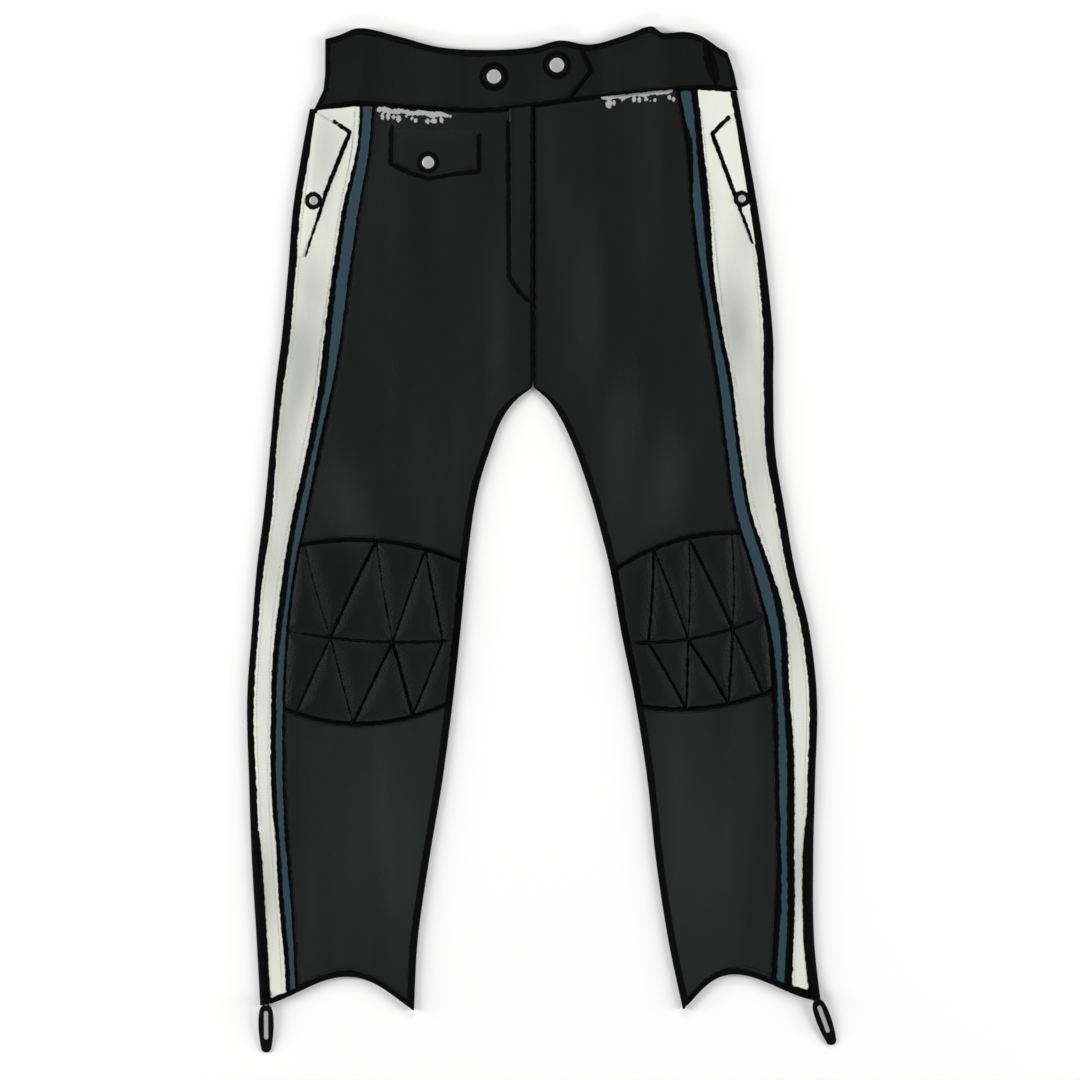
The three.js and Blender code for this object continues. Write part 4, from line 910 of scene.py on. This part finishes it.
for name, leg in legs.items():
    sign = leg["sign"]
    start, end = black_from(name), black_to(name)
    grid_share, grid_level = np.meshgrid(np.linspace(0, 1, 132), np.linspace(0, 2, 142))
    y = knee_height(name, grid_share, grid_level)
    y = y + np.where(grid_level == 0, half_gap, np.where(grid_level == 2, -half_gap, 0))
    width = float(start(400) - end(400))
    away = lerp(start(y), end(y), grid_share)
    x = sign * away
    line_gap, dyed_gap = np.full(y.shape, far), np.full(y.shape, far)
    for a, b, weak in quilt_lines(name):
        flat_a, flat_b = (
            (p[0] * width, float(knee_height(name, np.array(p[0]), np.array(p[1])))) for p in (a, b)
        )
        if a[1] == b[1]:
            gap = np.abs(y - knee_height(name, grid_share, np.ones_like(y)))
            weak = weak + 2 * (1 - smooth(0.04, 0.12, grid_share)) + 2 * smooth(0.92, 0.97, grid_share)
        else:
            gap = to_lines(grid_share * width, y, [flat_a, flat_b])
        line_gap = np.minimum(line_gap, gap)
        dyed_gap = np.minimum(dyed_gap, gap + weak - 0.1)
        count = int(abs(flat_a[1] - flat_b[1]) / 4 + abs(flat_a[0] - flat_b[0]) / 4) + 2
        along = np.linspace(0.02, 0.98, count)
        line_share = lerp(a[0], b[0], along) * 0.985
        line_y = (
            lerp(flat_a[1], flat_b[1], along)
            if a[1] != b[1]
            else knee_height(name, line_share, np.ones(count))
        )
        line_x = sign * lerp(start(line_y), end(line_y), line_share)
        stitch_line("black", np.stack([line_x, line_y, lie(line_x, line_y) - 0.55], -1))
    seams = knee_seams[name]
    border = np.minimum.reduce(
        [grid_share * width, y - bowed(seams["bottom"], grid_share), bowed(seams["top"], grid_share) - y]
    ).clip(0)
    inseam_gap = (1 - grid_share) * width + 2.0
    gap = np.minimum.reduce([line_gap, border, inseam_gap])
    swell = 3.9 * np.sin(np.pi / 2 * np.clip(gap / 14, 0, 1))
    groove = 0.9 * bell(line_gap, 1.1) + 1.4 * bell(border, 1.7)
    pucker = 0.22 * np.sin(x * 1.3 + y * 0.4) * bell(line_gap, 4) * smooth(0.6, 2.0, line_gap)
    outer = np.stack([x, y, lie(x, y) + swell - groove + pucker], -1)
    inner = np.stack([x, y, lie(x, y) - wall], -1)
    # Round the inseam the panel goes on without padding.
    turns = np.linspace(math.pi / 2, seam_turn, 9)[1:]
    rim = [leg_point(leg, "front", {"edge": "inner", "turn": float(a)}, y[:, -1]) for a in turns]
    rim_outer, rim_face = (np.stack(part, 1) for part in zip(*rim))
    rim_inner = rim_outer - rim_face * wall
    rim_outer[..., 2] += swell[:, -1:] * np.sin(turns)[None, :] ** 6
    outer = np.concatenate([outer, rim_outer], 1)
    inner = np.concatenate([inner, rim_inner], 1)
    edge = np.minimum(dyed_gap, border - 0.6)
    edge = np.concatenate([edge, np.repeat(border[:, -1:], len(turns), 1)], 1)
    edge = np.minimum(edge, to_inner(name, outer[..., 0], outer[..., 1])).clip(0)
    # Painted sheen streaks over a slightly lighter tone.
    painted_light = patches(painted_sheen_streaks, outer[..., 0], outer[..., 1]) + 0.1
    piece = closed_wall("quilted_knee_" + name, outer, inner, knee_leather, edge=edge, wear=painted_light)
    lay(piece, "knee_" + name)

# ---------------------------------------------------------------- ankle zips
# A closed metal zip runs up the side of each ankle. Its tape is woven black polyester, and its
# teeth are blackened brass, sewn between the white strip and the back panel.
zip_fabric, tree = new_material("woven_polyester_tape")
place = add_node(tree, "ShaderNodeTexCoord")
# Herringbone ribs 1.6 mm apart, a little coarser than the real tape's.
ribs = add_node(
    tree, "ShaderNodeTexWave", {"Vector": place.outputs["Object"]}, {"Scale": 100.0, "Distortion": 1.0},
    bands_direction="DIAGONAL",
)
cloud = add_node(tree, "ShaderNodeTexNoise", {"Vector": place.outputs["Object"]}, {"Scale": 300.0})
blacks = {6: linear("#040405"), 7: linear("#0b0b0c")}
tone = add_node(tree, "ShaderNodeMix", {0: cloud.outputs["Fac"]}, blacks, data_type="RGBA")
relief = {"Strength": 0.5, "Distance": 0.0003}
bump = add_node(tree, "ShaderNodeBump", {"Height": ribs.outputs["Fac"]}, relief)
skin = add_node(
    tree, "ShaderNodeBsdfPrincipled", {"Base Color": tone.outputs[2], "Normal": bump.outputs[0]},
    {"Roughness": 0.9, "Specular IOR Level": 0.1},
)
add_node(tree, "ShaderNodeOutputMaterial", {"Surface": skin.outputs[0]})


def metal(name, light, dark, rough, metallic=1.0):
    """Plated zinc or brass, tumbled: fine cloudy wear in the plating and soft highlights."""
    material, tree = new_material(name)
    place = add_node(tree, "ShaderNodeTexCoord")
    cloud = add_node(
        tree, "ShaderNodeTexNoise", {"Vector": place.outputs["Object"]}, {"Scale": 260.0, "Detail": 6.0}
    )
    tones = {6: linear(light), 7: linear(dark)}
    tone = add_node(tree, "ShaderNodeMix", {0: cloud.outputs["Fac"]}, tones, data_type="RGBA")
    roughness = {"From Min": 0.3, "From Max": 0.7, "To Min": rough - 0.07, "To Max": rough + 0.09}
    gloss = add_node(tree, "ShaderNodeMapRange", {"Value": cloud.outputs["Fac"]}, roughness)
    bump = add_node(
        tree, "ShaderNodeBump", {"Height": cloud.outputs["Fac"]}, {"Strength": 0.25, "Distance": 0.0002}
    )
    skin = add_node(
        tree,
        "ShaderNodeBsdfPrincipled",
        {"Base Color": tone.outputs[2], "Roughness": gloss.outputs[0], "Normal": bump.outputs[0]},
        {"Metallic": metallic},
    )
    add_node(tree, "ShaderNodeOutputMaterial", {"Surface": skin.outputs[0]})
    return material


black_brass = metal("blackened_brass", "#1b1b1a", "#0b0b0b", 0.45)


def repeat_along(name, lines, unit, pitch, material, alternate=0.0):
    """Geometry Nodes: sets a unit mesh along lines of points, one every pitch, turned to follow.
    alternate shifts every second unit to the other side of the line."""
    mesh = bpy.data.meshes.new(name)
    points, links = [], []
    for line in lines:
        first = len(points)
        points += ((line - origin) / 1000).tolist()
        links += [(first + i, first + i + 1) for i in range(len(line) - 1)]
    mesh.from_pydata(points, links, [])
    guide = add_object(name, mesh)

    tree = bpy.data.node_groups.new(name, "GeometryNodeTree")
    face = tree.interface
    face.new_socket("Geometry", in_out="INPUT", socket_type="NodeSocketGeometry")
    spacing = face.new_socket("Pitch", in_out="INPUT", socket_type="NodeSocketFloat")
    offset = face.new_socket("Side offset", in_out="INPUT", socket_type="NodeSocketFloat")
    finish = face.new_socket("Finish", in_out="INPUT", socket_type="NodeSocketMaterial")
    shape = face.new_socket("Unit", in_out="INPUT", socket_type="NodeSocketObject")
    face.new_socket("Geometry", in_out="OUTPUT", socket_type="NodeSocketGeometry")
    given = add_node(tree, "NodeGroupInput")
    curve = add_node(tree, "GeometryNodeMeshToCurve", {"Mesh": given.outputs["Geometry"]})
    even = add_node(
        tree,
        "GeometryNodeResampleCurve",
        {"Curve": curve.outputs[0], "Length": given.outputs["Pitch"]},
        mode="LENGTH",
    )
    tangent = add_node(tree, "GeometryNodeInputTangent")
    turn = add_node(
        tree, "FunctionNodeAlignRotationToVector", {"Vector": tangent.outputs[0]}, axis="X", pivot_axis="Z"
    )
    # Every second unit goes to the other side.
    number = add_node(tree, "GeometryNodeInputIndex")
    parity = add_node(tree, "ShaderNodeMath", {0: number.outputs[0]}, {1: 2.0}, operation="MODULO")
    swing = add_node(
        tree, "ShaderNodeMapRange", {"Value": parity.outputs[0]}, {"To Min": -1.0, "To Max": 1.0}
    )
    reach = add_node(
        tree, "ShaderNodeMath", {0: swing.outputs[0], 1: given.outputs["Side offset"]}, operation="MULTIPLY"
    )
    up = {1: (0, 0, 1)}
    level = add_node(tree, "ShaderNodeVectorMath", {0: tangent.outputs[0]}, up, operation="CROSS_PRODUCT")
    aside = add_node(
        tree, "ShaderNodeVectorMath", {0: level.outputs[0], "Scale": reach.outputs[0]}, operation="SCALE"
    )
    moved = add_node(
        tree, "GeometryNodeSetPosition", {"Geometry": even.outputs[0], "Offset": aside.outputs[0]}
    )
    unit_info = add_node(tree, "GeometryNodeObjectInfo", {"Object": given.outputs["Unit"]})
    spread = add_node(
        tree,
        "GeometryNodeInstanceOnPoints",
        {"Points": moved.outputs[0], "Instance": unit_info.outputs["Geometry"], "Rotation": turn.outputs[0]},
    )
    solid = add_node(tree, "GeometryNodeRealizeInstances", {"Geometry": spread.outputs[0]})
    painted = add_node(
        tree, "GeometryNodeSetMaterial", {"Geometry": solid.outputs[0], "Material": given.outputs["Finish"]}
    )
    add_node(tree, "NodeGroupOutput", {"Geometry": painted.outputs[0]})

    modifier = guide.modifiers.new("repeat", "NODES")
    modifier.node_group = tree
    modifier[spacing.identifier] = pitch / 1000
    modifier[offset.identifier] = alternate / 1000
    modifier[finish.identifier] = material
    modifier[shape.identifier] = unit
    bpy.context.view_layer.update()
    graph = bpy.context.evaluated_depsgraph_get()
    made = bpy.data.meshes.new_from_object(guide.evaluated_get(graph))
    guide.modifiers.clear()
    guide.data = made
    guide.data.name = name
    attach(guide, "trousers")
    return guide


def unit_block(name, size, bevel):
    """A small rounded block, in millimetres, that a row repeats."""
    shape = bmesh.new()
    bmesh.ops.create_cube(shape, size=1.0)
    bmesh.ops.scale(shape, vec=Vector(size) / 1000, verts=shape.verts)
    bmesh.ops.bevel(shape, geom=shape.edges[:], offset=bevel / 1000, segments=1, profile=0.6, affect="EDGES")
    mesh = bpy.data.meshes.new(name)
    shape.to_mesh(mesh)
    shape.free()
    mesh.polygons.foreach_set("use_smooth", np.ones(len(mesh.polygons), bool))
    return bpy.data.objects.new(name, mesh)


def zip_line(name, away, low, high):
    """Points along a zip, a distance in from the side fold."""
    y = np.arange(low, high, 3.0)
    x = legs[name]["sign"] * (legs[name]["outer"](y) - away)
    inset = np.minimum(away / fold_radius, 1.0)
    top = fold_radius + (lie(x, y) - fold_radius) * math.sin(math.acos(1 - inset))
    return np.stack([x, y, top], -1)


tooth = unit_block("zip_tooth", (1.3, 3.6, 1.3), 0.35)
teeth = []
for name, leg in legs.items():
    start = lambda y, leg=leg: leg["outer"](y) - fold_radius
    reach = zip_reach(name)
    tape_to = lambda y, leg=leg, reach=reach: leg["outer"](y) - reach(y)
    columns = rim_columns("outer", seam_turn, math.pi / 2, 9) + [
        {"at": lambda y, s=s, a=start, b=tape_to: lerp(a(y), b(y), s)} for s in np.linspace(0.08, 1, 8)
    ]
    top = lambda away, y, t=zip_tops[name]: t + 0 * y
    rows = crowded_rows(3.0, 180)
    outer, inner, faces, edge = leg_grid(name, "front", columns, rows, hem_of(name), top, {})
    outer[..., 2] -= 0.5
    piece = closed_wall("ankle_zip_tape_" + name, outer, inner, zip_fabric)
    lay(piece, "zip_tape_" + name)
    teeth.append(zip_line(name, 6.2, hems[name]["outer"] + 9, zip_tops[name] - 4))
chain = repeat_along("ankle_zip_teeth", teeth, tooth, 1.55, black_brass, 1.1)



def solid_copy(node, name):
    """A copy of a solid's mesh, and a bmesh of it whose flat faces are made whole."""
    copy = frame["nodes"][node].data.copy()
    copy.name = name
    shape = bmesh.new()
    shape.from_mesh(copy)
    bmesh.ops.remove_doubles(shape, verts=shape.verts, dist=1e-6)
    bmesh.ops.dissolve_limit(shape, angle_limit=0.02, verts=shape.verts, edges=shape.edges)
    return copy, shape


def rounded_piece(copy, shape, width, *materials):
    """Makes a piece of such a copy and rounds its edges. The materials go in before the faces,
    which name them by number."""
    copy.materials.clear()
    for material in materials:
        copy.materials.append(material)
    shape.to_mesh(copy)
    shape.free()
    piece = add_object(copy.name, copy)
    rounding = piece.modifiers.new("rounding", "BEVEL")
    rounding.width, rounding.segments, rounding.limit_method = width, 2, "ANGLE"
    return piece


# Sliders: die-cast, blackened.
for name in legs:
    copy, shape = solid_copy("slider_" + name, "zip_slider_" + name)
    piece = rounded_piece(copy, shape, 0.00035, black_brass)
    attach(piece, "trousers")
    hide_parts("slider_" + name)

# ---------------------------------------------------------------- zip pulls
# Long cast pulls, blackened round the edge, with a bare nickel strip let into the face. Each hangs
# from its slider's bridge and lies past the hem.
nickel = metal("dulled_nickel", "#c0c0c0", "#a7a7a6", 0.5, 0.35)
black_zinc = metal("blackened_zinc", "#161617", "#0a0a0b", 0.5, 0.9)
for name in legs:
    pivot = Vector(next(j["pos_m"] for j in frame["joints"] if j["child"] == name + "_pull"))
    copy, shape = solid_copy("pull_" + name, "zip_pull_" + name)
    shape.normal_update()
    # The upper face of the plate, and the recess a third of a millimetre below it.
    upper = [face for face in shape.faces if face.normal.z > 0.8]
    out = max(upper, key=lambda face: face.calc_area()).normal
    depth = {face: (face.verts[0].co - pivot).dot(out) for face in upper if face.normal.dot(out) > 0.999}
    top = max(depth.values())
    for face in shape.faces:
        face.material_index = 1 if top - 0.0005 < depth.get(face, 0) < top - 0.0002 else 0
    piece = rounded_piece(copy, shape, 0.0003, black_zinc, nickel)
    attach(piece, name + "_pull")
    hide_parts("pull_" + name)

# ---------------------------------------------------------------- waistband
# Two layers of firm black hide turned in at both edges. The right front ends in a pointed tab
# that laps over the left front, and the back wraps round to a side seam at the wearer's left.
# The band's second tone is a painted sheen.
band_leather = leather("waistband_cowhide", "#131414", "#282a2a", "#010101", 0.12)
band_wall, band_radius = 3.0, 4.8
band_ends = {
    "v": [0, 0.25, 0.5, 0.75, 1],
    "right": [-229, -220, -218, -218, -218],
    "tab": [37, 49, 61, 55, 46],
    "side": [192, 190, 187, 184, 182],
    "left": [215, 213, 211, 208, 204],
    "dyed": [0.3, 5.5, 8.0, 6.0, 4.0],  # half the width of the painted shadow over the side seam
}
# Painted sheen: lighter patches put into the waistband's colour.
band_sheen = {
    "x": [-43, 75, -120, 130, -195, 25],
    "y": [962, 985, 975, 985, 970, 962],
    "length": [70, 60, 60, 70, 60, 40],
    "width": [36, 40, 60, 50, 40, 30],
    "rise": [0.4, 0.15, 0.1, 0.15, 0.15, 0.15],
    "lean": [0, 20, 80, 60, 10, 70],
    "bow": [0] * 6,
}
band_creases = {
    "x": [-190, -150, -95, -60, 10, 85, 118, 150, 172, -120],
    "y": [985, 990, 965, 985, 960, 985, 1000, 975, 990, 955],
    "length": [50, 44, 40, 50, 30, 44, 40, 44, 40, 40],
    "width": [14, 16, 14, 12, 12, 14, 14, 12, 10, 12],
    "rise": [-0.5, 0.4, -0.4, 0.4, -0.3, -0.5, 0.5, -0.5, 0.4, -0.4],
    "lean": [10, -14, 22, -8, 30, 12, 40, -12, 8, -30],
    "bow": [4, 5, 4, 4, 3, 4, -4, 4, 3, 4],
}
ends = {c: (lambda v, c=c: np.interp(v, band_ends["v"], band_ends[c])) for c in band_ends if c != "v"}


def band_share(x, y, tall=None):
    """Share of the band's height at a point."""
    return np.clip((y - waist_seam(x)) / (tall or band_top(x) - waist_seam(x)), 0, 1)


def tab_gap(x, y):
    """Distance in from the tab's pointed end."""
    return (ends["tab"](band_share(x, y)) - x) * 0.82


def side_gap(x, y):
    """Distance in from the left front's side seam."""
    return ends["side"](band_share(x, y)) - x


def band_grid(*runs):
    """Joins runs of columns into grids of x, of z and of the way that their face looks."""
    return [np.concatenate([np.broadcast_to(run[i], run[0].shape) for run in runs], 1) for i in range(4)]


def band_fold(at, turns, side):
    """Columns round a fold of the band. side is -1 at the wearer's right and 1 at the left."""
    x = at - side * band_radius * (1 - np.cos(turns))
    return x, band_radius * (1 + np.sin(turns)), side * np.cos(turns), np.sin(turns)


def band_shell(name, grid, seams, node):
    """A length of waistband, from a grid of columns and the distances to its upright seams."""
    x, z, face_x, face_z = grid
    y = lerp(waist_seam(x) + half_gap, band_top(x), v)
    outer = np.stack([x, y, z], -1)
    face = np.stack([face_x, 0 * face_x, face_z], -1)
    inner = outer - face * band_wall
    low, high = y - waist_seam(x) - half_gap, band_top(x) - y
    gaps = [seam(x, y) for seam in seams]
    edge = np.minimum.reduce([low, high, *gaps]).clip(0)
    roll = 0.9 * bell(high, 1.3) + 1.2 * bell(low, 1.6)
    roll += 0.3 * bell(edge - 4.5, 0.9)
    for gap in gaps:
        roll += 1.2 * bell(gap.clip(0), 1.6)
    shown = np.clip(face_z, 0, 1)
    outer[..., 2] += (rises(band_creases, x, y) - np.minimum(roll, 1.6)) * shown
    height = band_share(x, y)
    # Painted shadow: a dark band over the side seam, where the front ends and the back wraps round, and
    # painted shade rings round the studs.
    side_seam_shadow = np.abs(x - ends["side"](height)) - ends["dyed"](height) + dye_and_shade_reach
    front_dye_and_shade = np.minimum.reduce([np.abs(tab_gap(x, y)) - 1.0, side_seam_shadow, to_studs(x, y)])
    borders = [low - 1.0, high - 5.2, x - ends["right"](height) - 4.0, ends["left"](height) - x - 3.0]
    dyed = np.minimum.reduce([*borders, np.where(face_z > 0.01, front_dye_and_shade, far)])
    # Painted sheen patches lighten the band's colour.
    marks = {"edge": dyed.clip(0), "wear": patches(band_sheen, x, y) * shown}
    piece = closed_wall(name, outer, inner, band_leather, **marks)
    lay(piece, node)


# Shares of the band's height, crowded at both edges.
edge = np.array(near) / 62.0
rows = np.concatenate([edge, np.linspace(edge[-1], 1 - edge[-1], 30)[1:-1], 1 - edge[::-1]])
v = rows[:, None]
gap_turn = half_gap / band_radius
turns = np.linspace(gap_turn, math.pi / 2, 9)
start, stop = ends["right"](v), ends["tab"](v)
flat_share = np.concatenate([np.linspace(0, 0.975, 120)[1:], 1 - np.array(near[::-1]) / 280])
grid = band_grid(
    band_fold(start, turns, -1),
    (lerp(start + band_radius, stop, flat_share), 2 * band_radius, 0, 1),
)
band_shell("waistband_right_front", grid, [tab_gap], "band_front_right")

# The left front's end lies under the tab, on the back, and rises to full height at the side seam.
underlap, lies_to, rises_to = -55.0, 66.0, 94.0
flat_share = np.concatenate([np.linspace(0, 0.97, 104), 1 - np.array(near[::-1]) / 245])
x = lerp(underlap, ends["side"](v) - 2 * half_gap, flat_share)
z = lerp(2 * band_wall + 2 * half_gap, 2 * band_radius, smooth(lies_to, rises_to, x))
band_shell("waistband_left_front", band_grid((x, z, 0, 1)), [side_gap], "band_front_left")

# The back goes from the fold at the wearer's right, under the band, round the fold at the left.
under = -np.linspace(gap_turn, math.pi / 2, 7)
over = np.linspace(-math.pi / 2, math.pi / 2, 15)
start, stop, side = (ends[c](v) for c in ("right", "left", "side"))
grid = band_grid(
    band_fold(start, under, -1),
    (lerp(start + band_radius, stop - band_radius, np.linspace(0, 1, 90)[1:-1]), 0, 0, -1),
    band_fold(stop, over, 1),
    (lerp(stop - band_radius, side, np.linspace(0, 1, 10)[1:]), 2 * band_radius, 0, 1),
)
on_top = grid[1] > 1.98 * band_radius
back_side = lambda x, y: np.where(on_top, x - ends["side"](band_share(x, y, 60)), far)
band_shell("waistband_back", grid, [back_side], "band_back")

# Topstitching along both edges and round the tab.
band_low, band_high = 2 * band_wall + 2 * half_gap, 2 * band_radius
for low_x, high_x in ((-212, 34), (70, 184)):
    x = np.arange(low_x, high_x, stitch_step)
    z = lerp(band_low, band_high, smooth(lies_to, rises_to, x)) if low_x > 0 else band_high + 0 * x
    z = z + rises(band_creases, x, waist_seam(x) + 4.6) - 0.3
    stitch_line("black", np.stack([x, waist_seam(x) + 4.7, z], -1))
    stitch_line("black", np.stack([x, band_top(x) - 4.5, z], -1))
v = np.linspace(0.09, 0.92, 18)
x = ends["tab"](v) - 5.6
y = lerp(waist_seam(x), band_top(x), v)
stitch_line("black", np.stack([x, y, 9.3 + 0 * x], -1))

# ---------------------------------------------------------------- fly placket
# A J-shaped facing of the same hide laps to the wearer's right over the fly and is sewn down
# along its curved edge.


def laid_shell(name, plan, across, up, lift, thick, open_sides, material, node, dark, thin=(), wear=0.0):
    """A flap that follows the front. plan turns shares across and up into x and y. open_sides are
    its free edges, which are rounded, and thin ones go down into the panel. dark gives the
    distance to the line that its edge dye follows."""
    s, t = np.meshgrid(across, up)
    x, y = plan(s, t)
    borders = {"start": (0 * s, t), "end": (0 * s + 1, t), "low": (s, 0 * t), "high": (s, 0 * t + 1)}
    edge, sunk = np.full(x.shape, far), np.zeros(x.shape)
    for side, border in borders.items():
        border_x, border_y = plan(*border)
        gap = np.hypot(x - border_x, y - border_y)
        if side in open_sides:
            edge = np.minimum(edge, gap)
        if side in thin:
            sunk = np.maximum(sunk, 1 - smooth(0, 18 if side == "high" else 7, gap))
    roll = 0.8 * bell(edge, 0.9) + 0.25 * bell(edge - 4.0, 0.9)
    base = lie(x, y) + lift - sunk**3
    outer = np.stack([x, y, base + thick * (1 - 0.75 * sunk) - roll], -1)
    inner = np.stack([x, y, base], -1)
    dyed = np.minimum.reduce([dark(x, y), to_studs(x, y), np.abs(x) - 1.0])
    # Painted light: a painted sheen on the black flaps, and painted shade on the white pocket flaps.
    marks = {"edge": dyed.clip(0), "wear": np.clip(wear + rises(painted_shade_patches if wear else painted_sheen_streaks, x, y), 0, 1)}
    piece = closed_wall(name, outer, inner, material, **marks)
    lay(piece, node)
    return piece


def both_ends(length, step):
    """Shares of a length, crowded at both ends and a step apart between."""
    edge = np.array(near) / length
    middle = np.linspace(edge[-1], 1 - edge[-1], max(int(length / step), 3))[1:-1]
    return np.concatenate([edge, middle, 1 - edge[::-1]])


def placket_plan(s, t):
    x = lerp(-25.0, -0.3, s)
    bottom = 737 + 28 * (1 - s) ** 1.5
    return x, lerp(bottom, waist_seam(x) - 0.6, t)


piece = laid_shell(
    "fly_facing", placket_plan, both_ends(25, 1.6), both_ends(190, 2.5), 0.3, 1.4,
    ("start", "low", "end"), black_leather, "fly_placket",
    lambda x, y: to_lines(x, y, placket_line) - 0.4,
)
s = np.concatenate([np.full(46, 4.2 / 24.7), np.linspace(4.2 / 24.7, 0.97, 10)[1:]])
t = np.concatenate([np.linspace(0.99, 0.05, 46), np.full(9, 0.024)])
x, y = placket_plan(s, t)
stitch_line("black", np.stack([x, y, lie(x, y) + 1.5], -1))

# ---------------------------------------------------------------- coin flap and pocket flaps
# The coin flap is let into the panel along its top and has a shallow point. The pocket flaps are
# narrow triangles of the white hide, caught in the side fold.


def coin_plan(s, t):
    bottom = np.interp(s, [0, 0.2, 0.43, 0.7, 1], [883, 874, 867, 872, 875])
    return lerp(-149.0, -57.0, s), lerp(bottom, 922.0, t)


piece = laid_shell(
    "coin_pocket_flap", coin_plan, both_ends(92, 1.8), both_ends(48, 1.6), 0.3, 1.6,
    ("start", "low", "end"), black_leather, "coin_flap",
    lambda x, y: to_lines(x, y, coin_line) - 0.4, thin=("high",),
)
s = np.concatenate([np.full(12, 0.045), np.linspace(0.045, 0.955, 24), np.full(12, 0.955)])
t = np.concatenate([np.linspace(0.9, 0.1, 12), np.full(24, 0.09), np.linspace(0.1, 0.9, 12)])
x, y = coin_plan(s, t)
stitch_line("black", np.stack([x, y, lie(x, y) + 1.65], -1))

flap_corners = {  # the top's outer and inner corner, then the tip's
    "right": [(-229, 937), (-192, 915), (-247, 786), (-242, 785)],
    "left": [(212, 931), (188, 913), (234, 798), (230, 797)],
}
for name in legs:
    corners = np.array(flap_corners[name], float)

    def flap_plan(s, t, corners=corners):
        s, t = s[..., None], t[..., None]
        top_outer, top_inner, tip_outer, tip_inner = corners
        point = lerp(lerp(tip_outer, top_outer, t), lerp(tip_inner, top_inner, t), s)
        return point[..., 0], point[..., 1]

    piece = laid_shell(
        "side_pocket_flap_" + name, flap_plan, both_ends(34, 1.6), both_ends(140, 2.0), 0.3, 1.6,
        ("high", "end", "low"), white_leather, "pocket_flap_" + name,
        lambda x, y, name=name: to_flap(name, x, y), thin=("start",), wear=0.13,
    )

# ---------------------------------------------------------------- press studs
# Ring-spring studs: a blackened rim pressed round a dull nickel cap with a slight dome.
studs = {
    "node": ["stud_band", "stud_tab", "stud_coin_flap", "stud_pocket_right", "stud_pocket_left"],
    "radius": [11, 11, 8.5, 7, 6.2],
    "cap": [7.1, 7.3, 6.0, 4.2, 3.6],
}
for node, radius, cap in zip(*studs.values()):
    low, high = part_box(node)
    middle = Vector(((low.x + high.x) / 2, (low.y + high.y) / 2, low.z))
    # The section from the cap's middle out to the rim: radius and height.
    profile = [
        (0, 2.35), (cap * 0.3, 2.32), (cap * 0.6, 2.2), (cap * 0.85, 1.95), (cap * 0.96, 1.7),
        (cap, 1.3), (cap + 0.35, 1.1), (cap + 0.6, 1.35), (radius * 0.84, 1.6),
        (radius * 0.93, 1.4), (radius * 0.99, 0.9), (radius, 0.3), (radius * 0.98, 0), (0, 0),
    ]
    spin, cap_rings = 56, 5
    turns = np.linspace(0, 2 * math.pi, spin, False)
    points = [(0, 0, profile[0][1])]
    points += [(r * math.cos(a), r * math.sin(a), h) for r, h in profile[1:-1] for a in turns]
    points.append((0, 0, 0))
    last, rings = len(points) - 1, len(profile) - 2
    faces, kinds = [], []
    for k in range(spin):
        ahead = (k + 1) % spin
        starts = [1 + ring * spin for ring in range(rings)]
        faces.append((0, 1 + k, 1 + ahead))
        faces += [(a + k, a + spin + k, a + spin + ahead, a + ahead) for a in starts[:-1]]
        faces.append((last, starts[-1] + ahead, starts[-1] + k))
        kinds += [1] + [int(ring < cap_rings) for ring in range(rings - 1)] + [0]
    mesh = bpy.data.meshes.new("press_" + node)
    placed = [(middle.x + a / 1000, middle.y + b / 1000, middle.z + c / 1000) for a, b, c in points]
    mesh.from_pydata(placed, [], faces)
    mesh.polygons.foreach_set("material_index", kinds)
    mesh.polygons.foreach_set("use_smooth", np.ones(len(faces), bool))
    mesh.materials.append(black_zinc)
    mesh.materials.append(nickel)
    piece = add_object("press_" + node, mesh)
    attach(piece, "trousers")
    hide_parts(node)

# ---------------------------------------------------------------- topstitching
# Bonded nylon thread, about three stitches to the centimetre, pulled into the leather.
threads = {"black": ("bonded_black_thread", "#0a0a0a"), "pale": ("bonded_pale_thread", "#c3c5bd")}
for kind, (name, colour) in threads.items():
    thread, tree = new_material(name)
    place = add_node(tree, "ShaderNodeTexCoord")
    # Twist of the thread, 0.5 mm a turn.
    twist = add_node(
        tree, "ShaderNodeTexWave", {"Vector": place.outputs["Object"]}, {"Scale": 320.0, "Distortion": 2.0}
    )
    relief = {"Strength": 0.4, "Distance": 0.0002}
    bump = add_node(tree, "ShaderNodeBump", {"Height": twist.outputs["Fac"]}, relief)
    skin = add_node(
        tree, "ShaderNodeBsdfPrincipled", {"Normal": bump.outputs[0]},
        {"Base Color": linear(colour), "Roughness": 0.75, "Specular IOR Level": 0.15},
    )
    add_node(tree, "ShaderNodeOutputMaterial", {"Surface": skin.outputs[0]})
    stitch = unit_block("stitch", (2.7, 0.75, 0.6), 0.26)
    rows = repeat_along("topstitching_" + kind, stitch_rows[kind], stitch, 3.4, thread)
